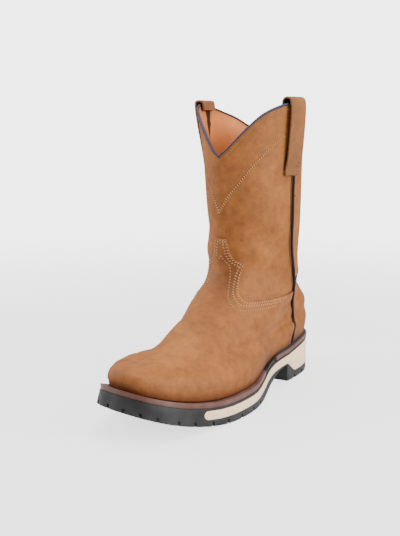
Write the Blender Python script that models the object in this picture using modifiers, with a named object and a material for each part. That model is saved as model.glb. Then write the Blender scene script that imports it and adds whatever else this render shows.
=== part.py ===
"""Pull-on leather work boot for the left foot, empty and standing on its sole.

Lengths are in metres. Along runs from the back of the heel to the toe, across runs from
the inner side of the foot to the outer side, and height runs up from the floor.
In the scene along is -Y, across is +X and height is +Z.
"""

import math

import bmesh
import bpy
from mathutils import Matrix, Vector

# Sole
OUTSOLE_LENGTH = 0.308
BALL_WIDTH = 0.110
HEEL_LENGTH = 0.079
SHANK_RISE = 0.017
WAIST_END = 0.148
FOREFOOT_THICKNESS = 0.0168
HEEL_LIFT = 0.0182
TOE_SPRING = 0.0265
TOE_SPRING_START = 0.203
TOE_THINNING = 0.0026
TREAD_DEPTH = 0.0040
CHANNEL_WIDTH = 0.0084
INLAY_WIDTH = 0.0038
INLAY_SINK = 0.0008
SLOT_WIDTH = 0.0024
SLOT_PITCH = 0.0125
SLOT_LENGTH = 0.0085
SIDE_BAND_WIDTH = 0.0078
SIDE_BAND_COVER = 0.0021
SIDE_BAND_DEPTH = 0.0030
SIDE_BAND_FRONT = 0.246
TOP_LIFT = 0.0078
PLUG_LENGTH = 0.022
PLUG_WIDTH = 0.028
PLUG_PLACE = 0.1225
PLUG_THICKNESS = 0.0012

# Welt and rands
WELT_THICKNESS = 0.0046
WELT_SETBACK = 0.0006
WELT_END = 0.134
RAND_THICKNESS = 0.0030
HEEL_RAND_THICKNESS = 0.0044
HEEL_RAND_END = 0.092
TOE_MARGIN = 0.0068
HEEL_MARGIN = 0.0042

# Upper
UPPER_WALL = 0.0024
OVERLAY = 0.0012
INSTEP_HEIGHT = 0.160
SHAFT_HEIGHT = 0.277
SHAFT_DEPTH = 0.121
SHAFT_WIDTH = 0.097
SHAFT_PLACE = 0.0878
SHAFT_LEAN = -0.0028
SHAFT_NOSE = 1.78
SHAFT_TAIL = 2.0
FRONT_DIP = 0.049
BACK_DIP = 0.036
SEAM_TOP = 0.094
TONGUE_TOP = 0.1505
COUNTER_TOP = 0.108
INSOLE_THICKNESS = 0.0035

# Trim
PIPING_RADIUS = 0.0013
BINDING_THICKNESS = 0.0007
BINDING_DEPTH = 0.0036
STRAP_WIDTH = 0.025
STRAP_PLACE = 0.0925
STRAP_THICKNESS = 0.0026
STRAP_LOW = 0.209
STRAP_LOOP = 0.0042
STRAP_BULGE = 0.0008
STRAP_INSIDE_LOW = 0.232

# Pieces that meet keep this gap, and those on a tightly curved face a little more
CLEARANCE = 0.0003
OVERLAY_GAP = 0.0006

# Outline of the sole seen from above, from the toe tip round the outer side, the heel and
# the inner side: along as a share of the sole's length, across as a share of its ball width.
OUTLINE = [
    (1.000, -0.064), (0.996, 0.022), (0.977, 0.137), (0.939, 0.228), (0.881, 0.308),
    (0.829, 0.360), (0.768, 0.418), (0.709, 0.457), (0.645, 0.479), (0.575, 0.479),
    (0.514, 0.451), (0.435, 0.390), (0.375, 0.352), (0.300, 0.338), (0.240, 0.345),
    (0.174, 0.345), (0.118, 0.325), (0.066, 0.276), (0.022, 0.178), (0.000, 0.010),
    (0.022, -0.176), (0.066, -0.270), (0.118, -0.322), (0.191, -0.343), (0.267, -0.330),
    (0.333, -0.299), (0.389, -0.293), (0.446, -0.318), (0.508, -0.389), (0.584, -0.477),
    (0.649, -0.510), (0.713, -0.521), (0.768, -0.506), (0.827, -0.464), (0.892, -0.407),
    (0.943, -0.343), (0.978, -0.250), (0.996, -0.158),
]

# Top of the outsole, the deck that the upper stands on: along as a share of the sole's
# length, lift as a share of the heel lift.
DECK_LIFT = [
    (0.000, 1.000), (0.100, 0.970), (0.175, 0.865), (0.214, 0.755), (0.250, 0.650),
    (0.285, 0.600), (0.338, 0.540), (0.383, 0.420), (0.420, 0.275), (0.460, 0.140),
    (0.535, 0.000),
]

# Side wall of the upper, which follows the deck: front and back as shares of the feather
# line's length, spread as a share of its width and heel as the spread at its back, rise as
# a share of the wall's full rise.
WALL_RISE = 0.024
WALL_ROWS = [
    # name, front, back, spread, heel, rise
    ("feather", 1.000, 0.000, 1.000, 1.000, 0.026),
    ("welt line", 1.000, 0.000, 1.000, 1.000, 0.235),
    ("bulge", 1.003, -0.001, 1.026, 1.040, 0.600),
    ("shoulder", 0.977, 0.001, 0.998, 1.070, 0.960),
]

# Rings of the vamp, instep and heel: front and back as shares of the outsole's length,
# their heights and the side's height as shares of the instep height, spread as a share of
# the feather line, outer and inner as shares of the ball width, foot as the share of the
# foot's outline in the ring, nose and tail as the roundness of its front and back, heel as
# the spread at its back.
BODY_ROWS = [
    # name, front, front height, back, back height, side height, spread, outer, inner, foot, nose, heel, tail
    ("toe box", 0.860, 0.362, 0.0106, 0.430, 0.350, 0.729, 0.395, 0.329, 0.85, 2.20, 1.02, 2.00),
    ("toe crease", 0.788, 0.360, 0.0127, 0.485, 0.412, 0.708, 0.417, 0.320, 0.65, 2.10, 1.08, 1.97),
    ("vamp low", 0.716, 0.416, 0.0232, 0.540, 0.462, 0.707, 0.427, 0.312, 0.40, 1.95, 0.92, 1.93),
    ("vamp high", 0.633, 0.495, 0.0458, 0.580, 0.518, 0.645, 0.440, 0.310, 0.20, 1.85, 0.88, 1.88),
    ("instep low", 0.550, 0.584, 0.0731, 0.617, 0.580, 0.600, 0.438, 0.312, 0.00, 1.80, 0.70, 1.75),
    ("instep high", 0.486, 0.675, 0.0832, 0.655, 0.644, 0.600, 0.436, 0.322, 0.00, 1.78, 0.70, 1.72),
    ("ankle", 0.459, 0.784, 0.0822, 0.705, 0.719, 0.600, 0.444, 0.330, 0.00, 1.78, 0.70, 1.82),
    ("above ankle", 0.463, 0.890, 0.0818, 0.805, 0.825, 0.600, 0.430, 0.330, 0.00, 1.78, 0.70, 1.93),
]

# Level rings of the shaft: height as a share of the shaft's height, front and back as
# shares of half its depth, outer and inner as shares of half its width.
SHAFT_ROWS = [
    # height, front, back, outer, inner
    (0.578, 0.932, 1.022, 0.978, 0.720),
    (0.650, 0.972, 1.013, 0.994, 0.771),
    (0.820, 1.008, 1.006, 1.012, 0.867),
    (1.000, 1.027, 1.013, 1.065, 1.065),
    (1.080, 1.027, 1.013, 1.065, 1.065),
]

# Collar's edge from the front round to the back, for both sides: angle in degrees, drop
# below the shaft's height as a share of the front dip or of the back dip.
FRONT_EDGE = [(0, 1.00), (10, 0.86), (20, 0.67), (33, 0.43), (46, 0.23), (60, 0.10), (75, 0.02), (90, 0.0)]
BACK_EDGE = [(90, 0.06), (101, 0.11), (116, 0.24), (129, 0.38), (144, 0.62), (158, 0.84), (180, 1.0)]

# The vamp's top seam and its tongue seen from the front: across as a share of the shaft's
# width, height as a share of the way from the side seam's top to the tongue's top.
TONGUE_EDGE = [
    (0.000, 1.00), (0.054, 1.00), (0.064, 0.97), (0.073, 0.91), (0.082, 0.81), (0.094, 0.725),
    (0.122, 0.650), (0.172, 0.595), (0.214, 0.560), (0.200, 0.460), (0.194, 0.370), (0.195, 0.280),
    (0.204, 0.200), (0.228, 0.115), (0.272, 0.040), (0.312, -0.015), (0.352, -0.025),
    (0.440, -0.025), (0.560, -0.018),
]

# Side seam seen from the side: along as a share of the shaft's place, height as a share
# of the instep height.
SIDE_SEAM = [
    (0.748, 0.200), (0.750, 0.290), (0.756, 0.380), (0.785, 0.460), (0.840, 0.540),
    (0.895, 0.620), (0.968, 0.800), (1.030, 0.960), (1.052, 1.120), (1.040, 1.900),
]

# Tread inlays: each is a zigzag of (along, across) points as shares of the sole's length
# and ball width, and some have branches.
INLAYS = [
    [[(0.860, 0.198), (0.868, 0.103), (0.885, 0.073), (0.901, -0.203), (0.915, -0.229), (0.919, -0.300)]],
    [
        [(0.748, 0.295), (0.763, 0.136), (0.784, 0.091), (0.806, -0.194), (0.817, -0.225), (0.824, -0.370)],
        [(0.817, -0.225), (0.829, -0.178), (0.822, -0.084)],
    ],
    [
        [(0.638, 0.337), (0.652, 0.169), (0.671, 0.133), (0.693, -0.161), (0.709, -0.186), (0.722, -0.400)],
        [(0.652, 0.162), (0.642, 0.123), (0.650, 0.010)],
    ],
    [[(0.536, 0.287), (0.543, 0.195), (0.562, 0.168), (0.582, -0.109), (0.598, -0.141), (0.612, -0.333)]],
    [[(0.210, 0.236), (0.210, 0.165), (0.228, 0.138), (0.228, -0.100), (0.246, -0.129), (0.246, -0.216)]],
    [
        [(0.136, 0.270), (0.139, 0.199), (0.156, 0.165), (0.158, -0.167), (0.173, -0.207), (0.177, -0.270)],
        [(0.139, 0.199), (0.122, 0.160), (0.127, 0.052)],
        [(0.173, -0.207), (0.190, -0.163), (0.187, -0.050)],
    ],
    [[(0.069, 0.200), (0.070, 0.147), (0.086, 0.117), (0.088, -0.120), (0.103, -0.150), (0.105, -0.190)]],
]

# Colour, roughness and metallic of each material
FINISHES = {
    "tan_leather": ((0.40, 0.19, 0.075), 0.60, 0.0),
    "black_rubber": ((0.012, 0.012, 0.013), 0.55, 0.0),
    "cream_rubber": ((0.86, 0.72, 0.55), 0.50, 0.0),
    "brown_welt": ((0.20, 0.075, 0.045), 0.50, 0.0),
    "insole_leather": ((0.55, 0.30, 0.14), 0.65, 0.0),
    "navy_binding": ((0.025, 0.025, 0.045), 0.50, 0.0),
    "red_rubber": ((0.75, 0.03, 0.03), 0.45, 0.0),
    "orange_rubber": ((0.85, 0.25, 0.04), 0.45, 0.0),
}

AROUND = 28
RINGS_BETWEEN_ROWS = 2
SHAFT_RINGS = 4
OUTLINE_STEPS = 2
PIPING_SPOTS = 20
MARGIN_OF_CUT = 0.010


def start_clean():
    for obj in list(bpy.data.objects):
        bpy.data.objects.remove(obj, do_unlink=True)


def new_collection(name):
    collection = bpy.data.collections.new(name)
    bpy.context.scene.collection.children.link(collection)
    return collection


def material_of(name):
    """The material of a row of the table of finishes, made at its first use."""
    if name in bpy.data.materials:
        return bpy.data.materials[name]
    colour, roughness, metallic = FINISHES[name]
    material = bpy.data.materials.new(name)
    material.use_nodes = True
    shader = material.node_tree.nodes["Principled BSDF"]
    shader.inputs["Base Color"].default_value = (*colour, 1.0)
    shader.inputs["Roughness"].default_value = roughness
    shader.inputs["Metallic"].default_value = metallic
    material.diffuse_color = (*colour, 1.0)
    return material


def ease(x):
    x = min(max(x, 0.0), 1.0)
    return x * x * (3 - 2 * x)


def hermite(low, high, slope_low, slope_high, width, t):
    """Smooth value between two values with their slopes."""
    cube, square = t * t * t, t * t
    return (
        (2 * cube - 3 * square + 1) * low
        + (cube - 2 * square + t) * width * slope_low
        + (3 * square - 2 * cube) * high
        + (cube - square) * width * slope_high
    )


def passing(four, t):
    """Smooth value between the middle two of four values in a row."""
    return hermite(four[1], four[2], (four[2] - four[0]) / 2, (four[3] - four[1]) / 2, 1.0, t)


def read_table(rows, x, column):
    """Reads a column of a table whose first column rises, with smooth slopes between rows."""
    if x <= rows[0][0]:
        return rows[0][column]
    if x >= rows[-1][0]:
        return rows[-1][column]
    k = max(i for i in range(len(rows) - 1) if rows[i][0] <= x)

    def slope(i):
        before, after = max(i - 1, 0), min(i + 1, len(rows) - 1)
        return (rows[after][column] - rows[before][column]) / (rows[after][0] - rows[before][0])

    width = rows[k + 1][0] - rows[k][0]
    t = (x - rows[k][0]) / width
    return hermite(rows[k][column], rows[k + 1][column], slope(k), slope(k + 1), width, t)


def place(along, across, height):
    return Vector((across, -along, height))


# Lines of the sole seen from the side


def toe_rise(along):
    reach = (along - TOE_SPRING_START) / (OUTSOLE_LENGTH - TOE_SPRING_START)
    return TOE_SPRING * max(reach, 0.0) ** 2


def underside(along):
    """Height of the forefoot's and the shank's underside, ahead of the heel."""
    shank = SHANK_RISE * (1 - ease((along - HEEL_LENGTH) / (WAIST_END - HEEL_LENGTH)))
    return shank + toe_rise(along)


def deck(along):
    """Height of the outsole's top, on which the upper stands."""
    reach = (along - TOE_SPRING_START) / (OUTSOLE_LENGTH - TOE_SPRING_START)
    lift = HEEL_LIFT * read_table(DECK_LIFT, along / OUTSOLE_LENGTH, 1)
    return FOREFOOT_THICKNESS + lift + toe_rise(along) - TOE_THINNING * max(reach, 0.0)


def steps(start, end, count):
    return [start + (end - start) * i / count for i in range(count + 1)]


# Outlines seen from above


def sole_outline(inset=0.0):
    """Smooth closed outline of the sole, moved inwards by an inset."""
    points = []
    count = len(OUTLINE)
    for i in range(count):
        rows = [OUTLINE[(i + k - 1) % count] for k in range(4)]
        for step in range(OUTLINE_STEPS):
            t = step / OUTLINE_STEPS
            spot = [
                passing([row[c] for row in rows], t)
                for c in range(2)
            ]
            points.append((spot[0] * OUTSOLE_LENGTH, spot[1] * BALL_WIDTH))
    return moved_outline(points, lambda along: -inset)


def moved_outline(points, distance):
    """Moves each point of a closed outline outwards by distance(along)."""
    moved = []
    for i, point in enumerate(points):
        before, after = points[i - 1], points[(i + 1) % len(points)]
        tangent = Vector((after[0] - before[0], after[1] - before[1])).normalized()
        outward = Vector((tangent.y, -tangent.x))
        reach = distance(point[0])
        moved.append((point[0] + outward.x * reach, point[1] + outward.y * reach))
    return moved


def feather_margin(along):
    """How far the upper stands in from the sole's edge."""
    return HEEL_MARGIN + (TOE_MARGIN - HEEL_MARGIN) * ease((along / OUTSOLE_LENGTH - 0.30) / 0.30)


def feather_outline():
    return moved_outline(sole_outline(), lambda along: -feather_margin(along))


def outline_at(points, angle):
    """Point of an outline in a direction that is stretched to the foot's length and width."""
    ray = Vector((math.cos(angle) * OUTSOLE_LENGTH, math.sin(angle) * BALL_WIDTH))
    middle = Vector((OUTSOLE_LENGTH / 2, SHAFT_LEAN))
    for i, point in enumerate(points):
        start = Vector(point) - middle
        edge = Vector(points[(i + 1) % len(points)]) - middle - start
        turn = ray.x * edge.y - ray.y * edge.x
        if abs(turn) < 1e-12:
            continue
        reach = (start.x * edge.y - start.y * edge.x) / turn
        share = (start.x * ray.y - start.y * ray.x) / turn
        if reach > 0 and -1e-9 <= share <= 1 + 1e-9:
            return middle + ray * reach
    return middle


# Form of the upper

FEATHER = feather_outline()
FEATHER_FRONT = max(point[0] for point in FEATHER)
FEATHER_BACK = min(point[0] for point in FEATHER)
feather_cache = {}


def feather_at(angle):
    key = round(angle, 9)
    if key not in feather_cache:
        feather_cache[key] = outline_at(FEATHER, angle)
    return feather_cache[key]


def fitted_foot(angle, front, back, spread, heel):
    """The feather line between a front and a back, spread sideways from its heel to its toe."""
    foot = feather_at(angle)
    share = (foot.x - FEATHER_BACK) / (FEATHER_FRONT - FEATHER_BACK)
    width = heel + (spread - heel) * share
    return back + (front - back) * share, SHAFT_LEAN + (foot.y - SHAFT_LEAN) * width


def wall_point(row, angle):
    """Point of a ring of the side wall."""
    _, front, back, spread, heel, rise = row
    length = FEATHER_FRONT - FEATHER_BACK
    front, back = FEATHER_BACK + front * length, FEATHER_BACK + back * length
    along, across = fitted_foot(angle, front, back, spread, heel)
    return Vector((along, across, deck(along) + CLEARANCE + rise * WALL_RISE))


def oval(angle, nose, tail):
    """Radius of a ring in a direction, with its own roundness at the front and at the back."""
    cosine, sine = abs(math.cos(angle)), abs(math.sin(angle))
    power = nose if math.cos(angle) > 0 else tail
    return (cosine**power + sine**power) ** (-1 / power)


def body_point(row, angle):
    """Point of a ring of the vamp, instep and heel."""
    _, front, front_height, back, back_height, side_height, spread, outer, inner, foot, nose, heel, tail = row
    front, back = front * OUTSOLE_LENGTH, back * OUTSOLE_LENGTH
    middle, half = (front + back) / 2, (front - back) / 2
    side = (outer if math.sin(angle) > 0 else inner) * BALL_WIDTH - math.copysign(SHAFT_LEAN, math.sin(angle))
    radius = oval(angle, nose, tail)
    along = middle + half * radius * math.cos(angle)
    across = SHAFT_LEAN + side * radius * math.sin(angle)
    foot_along, foot_across = fitted_foot(angle, front, back, spread, heel)
    along += (foot_along - along) * foot
    across += (foot_across - across) * foot
    share = (along - middle) / half
    tilt = (front_height - back_height) / 2
    bow = (front_height + back_height) / 2 - side_height
    return Vector((along, across, INSTEP_HEIGHT * (side_height + tilt * share + bow * share * share)))


def shaft_point(angle, height):
    """Point of the shaft at a height."""
    share = height / SHAFT_HEIGHT
    depth = read_table(SHAFT_ROWS, share, 1 if math.cos(angle) > 0 else 2) * SHAFT_DEPTH / 2
    width = read_table(SHAFT_ROWS, share, 3 if math.sin(angle) > 0 else 4) * SHAFT_WIDTH / 2
    radius = oval(angle, SHAFT_NOSE, SHAFT_TAIL)
    along = SHAFT_PLACE + depth * radius * math.cos(angle)
    return Vector((along, SHAFT_LEAN + width * radius * math.sin(angle), height))


def collar_height(angle):
    """Height of the collar's edge in a direction."""
    turn = abs(math.degrees(math.atan2(math.sin(angle), math.cos(angle))))
    if turn <= 90:
        return SHAFT_HEIGHT - FRONT_DIP * read_table(FRONT_EDGE, turn, 1)
    return SHAFT_HEIGHT - BACK_DIP * read_table(BACK_EDGE, turn, 1)


SHAFT_START = len(WALL_ROWS) + len(BODY_ROWS)
UPPER_END = SHAFT_START + 1


def row_point(index, angle):
    if index < len(WALL_ROWS):
        return wall_point(WALL_ROWS[max(index, 0)], angle)
    if index < SHAFT_START:
        return body_point(BODY_ROWS[index - len(WALL_ROWS)], angle)
    return shaft_point(angle, INSTEP_HEIGHT * (1 + 0.12 * (index - SHAFT_START)))


def upper_point(angle, level):
    """Point of the upper's outer face: level counts the rows up from the feather line."""
    if level >= SHAFT_START:
        share = level - SHAFT_START
        return shaft_point(angle, INSTEP_HEIGHT + (collar_height(angle) - INSTEP_HEIGHT) * share)
    k = int(level)
    spots = [row_point(k + i, angle) for i in (-1, 0, 1, 2)]
    t = level - k
    return Vector(
        passing([spot[c] for spot in spots], t)
        for c in range(3)
    )


def upper_normal(angle, level):
    """Outward direction of the upper's face."""
    turn, climb = 0.01, 0.02
    sideways = upper_point(angle + turn, level) - upper_point(angle - turn, level)
    low, high = max(level - climb, 0.0), min(level + climb, UPPER_END)
    upwards = upper_point(angle, high) - upper_point(angle, low)
    return sideways.cross(upwards).normalized()


def upper_levels():
    """Levels of the rings of the upper's mesh."""
    levels = [float(row) for row in range(len(WALL_ROWS))]
    for row in range(len(WALL_ROWS) - 1, SHAFT_START):
        levels += [row + (i + 1) / RINGS_BETWEEN_ROWS for i in range(RINGS_BETWEEN_ROWS)]
    return levels + [SHAFT_START + (i + 1) / SHAFT_RINGS for i in range(SHAFT_RINGS)]


def upper_angles():
    return [2 * math.pi * i / AROUND for i in range(AROUND)]


def seam_along(height):
    """Where the side seam lies at a height."""
    rows = [(high * INSTEP_HEIGHT, share * SHAFT_PLACE) for share, high in SIDE_SEAM]
    return read_table(rows, height, 1)


def seam_angle(level, side):
    """Direction in which the side seam crosses a ring."""
    low, high = math.radians(40), math.radians(150)
    for _ in range(40):
        middle = (low + high) / 2
        spot = upper_point(side * middle, level)
        if spot.x > seam_along(spot.z):
            low = middle
        else:
            high = middle
    return side * (low + high) / 2


# Making of solids


def mesh_object(name, verts, faces):
    mesh = bpy.data.meshes.new(name)
    mesh.from_pydata([tuple(v) for v in verts], [], faces)
    mesh.validate()
    return bpy.data.objects.new(name, mesh)


def show(obj, material):
    """Puts a finished piece into the boot."""
    obj.data.materials.clear()
    obj.data.materials.append(material_of(material))
    boot.objects.link(obj)
    obj.data.shade_smooth()
    obj.data.set_sharp_from_angle(angle=math.radians(35))
    obj.parent = stand
    return obj


def keep_as_cutter(obj):
    cutters.objects.link(obj)
    obj.hide_render = True
    obj.display_type = "WIRE"
    obj.parent = stand
    return obj


def flat_solid(name, loops, low, high, turn=None):
    """Solid of a flat outline with holes, between two levels, made from a filled curve."""
    curve = bpy.data.curves.new(name, "CURVE")
    curve.dimensions = "2D"
    curve.fill_mode = "BOTH"
    curve.extrude = (high - low) / 2
    for loop in loops:
        spline = curve.splines.new("POLY")
        spline.points.add(len(loop) - 1)
        for point, spot in zip(spline.points, loop):
            point.co = (spot[0], spot[1], 0.0, 1.0)
        spline.use_cyclic_u = True
    holder = bpy.data.objects.new(name, curve)
    bpy.context.scene.collection.objects.link(holder)
    bpy.context.view_layer.update()
    mesh = bpy.data.meshes.new_from_object(holder.evaluated_get(bpy.context.evaluated_depsgraph_get()))
    bpy.data.objects.remove(holder, do_unlink=True)
    mesh.transform((turn or Matrix()) @ Matrix.Translation((0, 0, (low + high) / 2)))
    shape = bmesh.new()
    shape.from_mesh(mesh)
    bmesh.ops.remove_doubles(shape, verts=shape.verts, dist=1e-6)
    bmesh.ops.recalc_face_normals(shape, faces=shape.faces)
    shape.to_mesh(mesh)
    shape.free()
    return bpy.data.objects.new(name, mesh)


def from_above(name, loops, low, high):
    """Upright solid of outlines given as (along, across)."""
    turned = [[(across, -along) for along, across in loop] for loop in loops]
    return flat_solid(name, turned, low, high)


SIDE_VIEW = Matrix(((0, 0, 1, 0), (-1, 0, 0, 0), (0, 1, 0, 0), (0, 0, 0, 1)))
FRONT_VIEW = Matrix(((1, 0, 0, 0), (0, 0, 1, 0), (0, 1, 0, 0), (0, 0, 0, 1)))


def from_side(name, profile, low=None, high=None):
    """Solid right across the boot of a profile given as (along, height)."""
    reach = BALL_WIDTH
    low = -reach if low is None else low
    high = reach if high is None else high
    return keep_as_cutter(flat_solid(name, [profile], low, high, SIDE_VIEW))


def combine(piece, cutter, operation):
    modifier = piece.modifiers.new(cutter.name, "BOOLEAN")
    modifier.object = cutter
    modifier.operation = operation
    modifier.solver = "EXACT"


def layer_profile(lower, upper, start, end, count):
    """Side profile between two lines, from start to end along the boot."""
    places = steps(start, end, count)
    return [(x, lower(x)) for x in places] + [(x, upper(x)) for x in reversed(places)]


# Pieces of the sole


def outsole_profile():
    heel_back, toe_end = -MARGIN_OF_CUT, OUTSOLE_LENGTH + MARGIN_OF_CUT
    ahead = steps(HEEL_LENGTH, WAIST_END, 8) + steps(WAIST_END, TOE_SPRING_START, 1)[1:]
    ahead += steps(TOE_SPRING_START, toe_end, 12)[1:]
    points = [(heel_back, 0.0), (HEEL_LENGTH, 0.0)] + [(x, underside(x)) for x in ahead]
    back = steps(toe_end, TOE_SPRING_START, 12) + steps(TOE_SPRING_START, HEEL_LENGTH, 9)[1:]
    back += steps(HEEL_LENGTH, heel_back, 4)[1:]
    return points + [(x, deck(x)) for x in back]


def band_profile(gap):
    """Side profile of the light band, and of its recess when it is given a gap."""
    tip = SIDE_BAND_FRONT + gap
    drop = SIDE_BAND_COVER - gap
    round_end = SIDE_BAND_WIDTH / 2

    def top(along):
        return deck(along) - drop

    def foot(along):
        return deck(along) - SIDE_BAND_COVER - SIDE_BAND_WIDTH - gap

    middle = tip - round_end
    centre, half = (top(middle) + foot(middle)) / 2, (top(middle) - foot(middle)) / 2
    climb = top(tip) - top(middle)
    nose = []
    for turn in (math.radians(a) for a in (30, 60, 90, 120, 150)):
        height = centre + half * math.cos(turn) + climb * math.sin(turn)
        nose.append((middle + round_end * math.sin(turn), height))
    points = [(x, top(x)) for x in [-MARGIN_OF_CUT] + steps(0.0, middle, 16)] + nose
    notch, corner = HEEL_LENGTH - 0.001, HEEL_LENGTH - 0.0145
    points += [(x, foot(x)) for x in steps(middle, notch, 11)]
    points += [(corner + gap, TOP_LIFT + 0.001 - gap), (corner - 0.003, TOP_LIFT - gap)]
    return points + [(-MARGIN_OF_CUT, TOP_LIFT - gap)]


def zigzag_outline(line, width):
    """Outline of a bar of even width along a line, with square ends that overrun a little."""
    spots = [Vector((along * OUTSOLE_LENGTH, across * BALL_WIDTH)) for along, across in line]
    spots[0] = spots[0] + (spots[0] - spots[1]).normalized() * width / 2
    spots[-1] = spots[-1] + (spots[-1] - spots[-2]).normalized() * width / 2
    left, right = [], []
    for i, spot in enumerate(spots):
        incoming = spot - spots[i - 1] if i else spots[1] - spot
        outgoing = spots[i + 1] - spot if i + 1 < len(spots) else incoming
        along = (incoming.normalized() + outgoing.normalized()).normalized()
        side = Vector((-along.y, along.x))
        reach = width / 2 / max(abs(along.dot(outgoing.normalized())), 0.6)
        left.append(tuple(spot + side * reach))
        right.append(tuple(spot - side * reach))
    return left + right[::-1]


def tread_bar(name, lines, width, lower, upper):
    """Zigzag bar in the tread with its branches, between two lines of the side view."""
    high = 2 * MARGIN_OF_CUT + TOE_SPRING
    whole = from_above(name, [zigzag_outline(lines[0], width)], -MARGIN_OF_CUT, high)
    for number, line in enumerate(lines[1:], 1):
        branch = from_above(f"{name}_branch_{number}", [zigzag_outline(line, width)], -MARGIN_OF_CUT, high)
        combine(whole, keep_as_cutter(branch), "UNION")
    alongs = [along * OUTSOLE_LENGTH for line in lines for along, _ in line]
    start, end = min(alongs) - CHANNEL_WIDTH, max(alongs) + CHANNEL_WIDTH
    layer = from_side(f"{name}_layer", layer_profile(lower, upper, start, end, 4))
    combine(whole, layer, "INTERSECT")
    return whole


def tread_floor(along):
    """Height of the walking surface."""
    return 0.0 if along < HEEL_LENGTH else underside(along)


def edge_slots():
    """Notches between the lugs along the forefoot's and the heel's edge, as one cutter."""
    outline = sole_outline()
    stretch = 0.0
    cells = []
    for i, point in enumerate(outline):
        before = outline[i - 1]
        span = Vector((point[0] - before[0], point[1] - before[1]))
        stretch += span.length
        open_tread = point[0] > WAIST_END or point[0] < HEEL_LENGTH - SLOT_PITCH
        if stretch < SLOT_PITCH or not open_tread:
            continue
        stretch = 0.0
        at_the_side = abs(span.x) > abs(span.y)
        side = Vector((1.0, 0.0)) if at_the_side else Vector((0.0, 1.0))
        inward = Vector((0.0, 1.0)) if at_the_side else Vector((1.0, 0.0))
        spot = Vector(point)
        start, end = spot - inward * SLOT_LENGTH, spot + inward * SLOT_LENGTH
        half = side * SLOT_WIDTH / 2
        cells.append([tuple(start - half), tuple(end - half), tuple(end + half), tuple(start + half)])
    return cells


def build_outsole():
    outsole = from_above("outsole", [sole_outline()], -MARGIN_OF_CUT, 0.1)
    combine(outsole, from_side("outsole_side_view", outsole_profile()), "INTERSECT")
    inner = sole_outline(SIDE_BAND_DEPTH + CLEARANCE)
    recess = from_above("band_recess", [sole_outline(-MARGIN_OF_CUT / 2), inner], -MARGIN_OF_CUT, 0.1)
    combine(recess, from_side("band_recess_side_view", band_profile(CLEARANCE)), "INTERSECT")
    combine(outsole, keep_as_cutter(recess), "DIFFERENCE")
    for number, lines in enumerate(INLAYS, 1):
        channel = tread_bar(
            f"channel_{number}", lines, CHANNEL_WIDTH,
            lambda x: tread_floor(x) - MARGIN_OF_CUT, lambda x: tread_floor(x) + TREAD_DEPTH,
        )
        combine(outsole, keep_as_cutter(channel), "DIFFERENCE")
    slots = from_above("edge_slots", edge_slots(), -MARGIN_OF_CUT, TREAD_DEPTH + 0.1)
    layer = layer_profile(
        lambda x: -MARGIN_OF_CUT, lambda x: underside(max(x, WAIST_END)) + TREAD_DEPTH,
        -MARGIN_OF_CUT, OUTSOLE_LENGTH + MARGIN_OF_CUT, 30,
    )
    combine(slots, from_side("edge_slots_layer", layer), "INTERSECT")
    combine(outsole, keep_as_cutter(slots), "DIFFERENCE")
    show(outsole, "black_rubber")


def build_side_band():
    band = from_above("side_band", [sole_outline(), sole_outline(SIDE_BAND_DEPTH)], -MARGIN_OF_CUT, 0.1)
    combine(band, from_side("side_band_side_view", band_profile(0.0)), "INTERSECT")
    show(band, "cream_rubber")


def build_inlays():
    for number, lines in enumerate(INLAYS, 1):
        inlay = tread_bar(
            f"tread_inlay_{number}", lines, INLAY_WIDTH,
            lambda x: tread_floor(x) + INLAY_SINK, lambda x: tread_floor(x) + TREAD_DEPTH - CLEARANCE,
        )
        show(inlay, "red_rubber")


def build_plug():
    """Plain oval plug under the shank, seated on the underside."""
    oval_edge = [
        (PLUG_PLACE + PLUG_LENGTH / 2 * math.cos(a), PLUG_WIDTH / 2 * math.sin(a))
        for a in (2 * math.pi * i / 32 for i in range(32))
    ]
    plug = from_above("shank_plug", [oval_edge], -MARGIN_OF_CUT, 0.1)
    layer = layer_profile(
        lambda x: underside(x) - CLEARANCE - PLUG_THICKNESS, lambda x: underside(x) - CLEARANCE,
        PLUG_PLACE - PLUG_LENGTH, PLUG_PLACE + PLUG_LENGTH, 24,
    )
    combine(plug, from_side("shank_plug_layer", layer), "INTERSECT")
    show(plug, "orange_rubber")


def feather_ring(distance):
    """The upper's own ring at the feather line, moved outwards by a distance."""
    points = [tuple(upper_point(angle, 0.0).xy) for angle in upper_angles()]
    return moved_outline(points, lambda along: distance)


def edge_strip(name, start, end, thickness, half=None):
    """Strip that lies on the outsole's edge around the foot of the upper."""
    loops = [sole_outline(WELT_SETBACK), feather_ring(CLEARANCE)]
    strip = from_above(name, loops, 0.0, 0.1)
    layer = layer_profile(
        lambda x: deck(x) + CLEARANCE, lambda x: deck(x) + CLEARANCE + thickness, start, end, 24
    )
    low, high = (None, None) if half is None else ((0.0, BALL_WIDTH) if half > 0 else (-BALL_WIDTH, 0.0))
    combine(strip, from_side(f"{name}_layer", layer, low, high), "INTERSECT")
    return strip


def build_edge_strips():
    beyond = MARGIN_OF_CUT
    show(edge_strip("welt", WELT_END, OUTSOLE_LENGTH + beyond, WELT_THICKNESS), "brown_welt")
    show(edge_strip("heel_rand", -beyond, HEEL_RAND_END, HEEL_RAND_THICKNESS), "brown_welt")
    for side, name in ((1, "waist_rand_outer"), (-1, "waist_rand_inner")):
        strip = edge_strip(name, HEEL_RAND_END + CLEARANCE, WELT_END - CLEARANCE, RAND_THICKNESS, side)
        show(strip, "black_rubber")


def build_insole():
    insole = from_above("insole", [feather_ring(-UPPER_WALL - 2 * CLEARANCE)], 0.0, 0.1)
    layer = layer_profile(
        lambda x: deck(x) + CLEARANCE, lambda x: deck(x) + CLEARANCE + INSOLE_THICKNESS,
        -MARGIN_OF_CUT, OUTSOLE_LENGTH + MARGIN_OF_CUT, 24,
    )
    combine(insole, from_side("insole_layer", layer), "INTERSECT")
    show(insole, "insole_leather")


# Pieces of the upper


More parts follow.
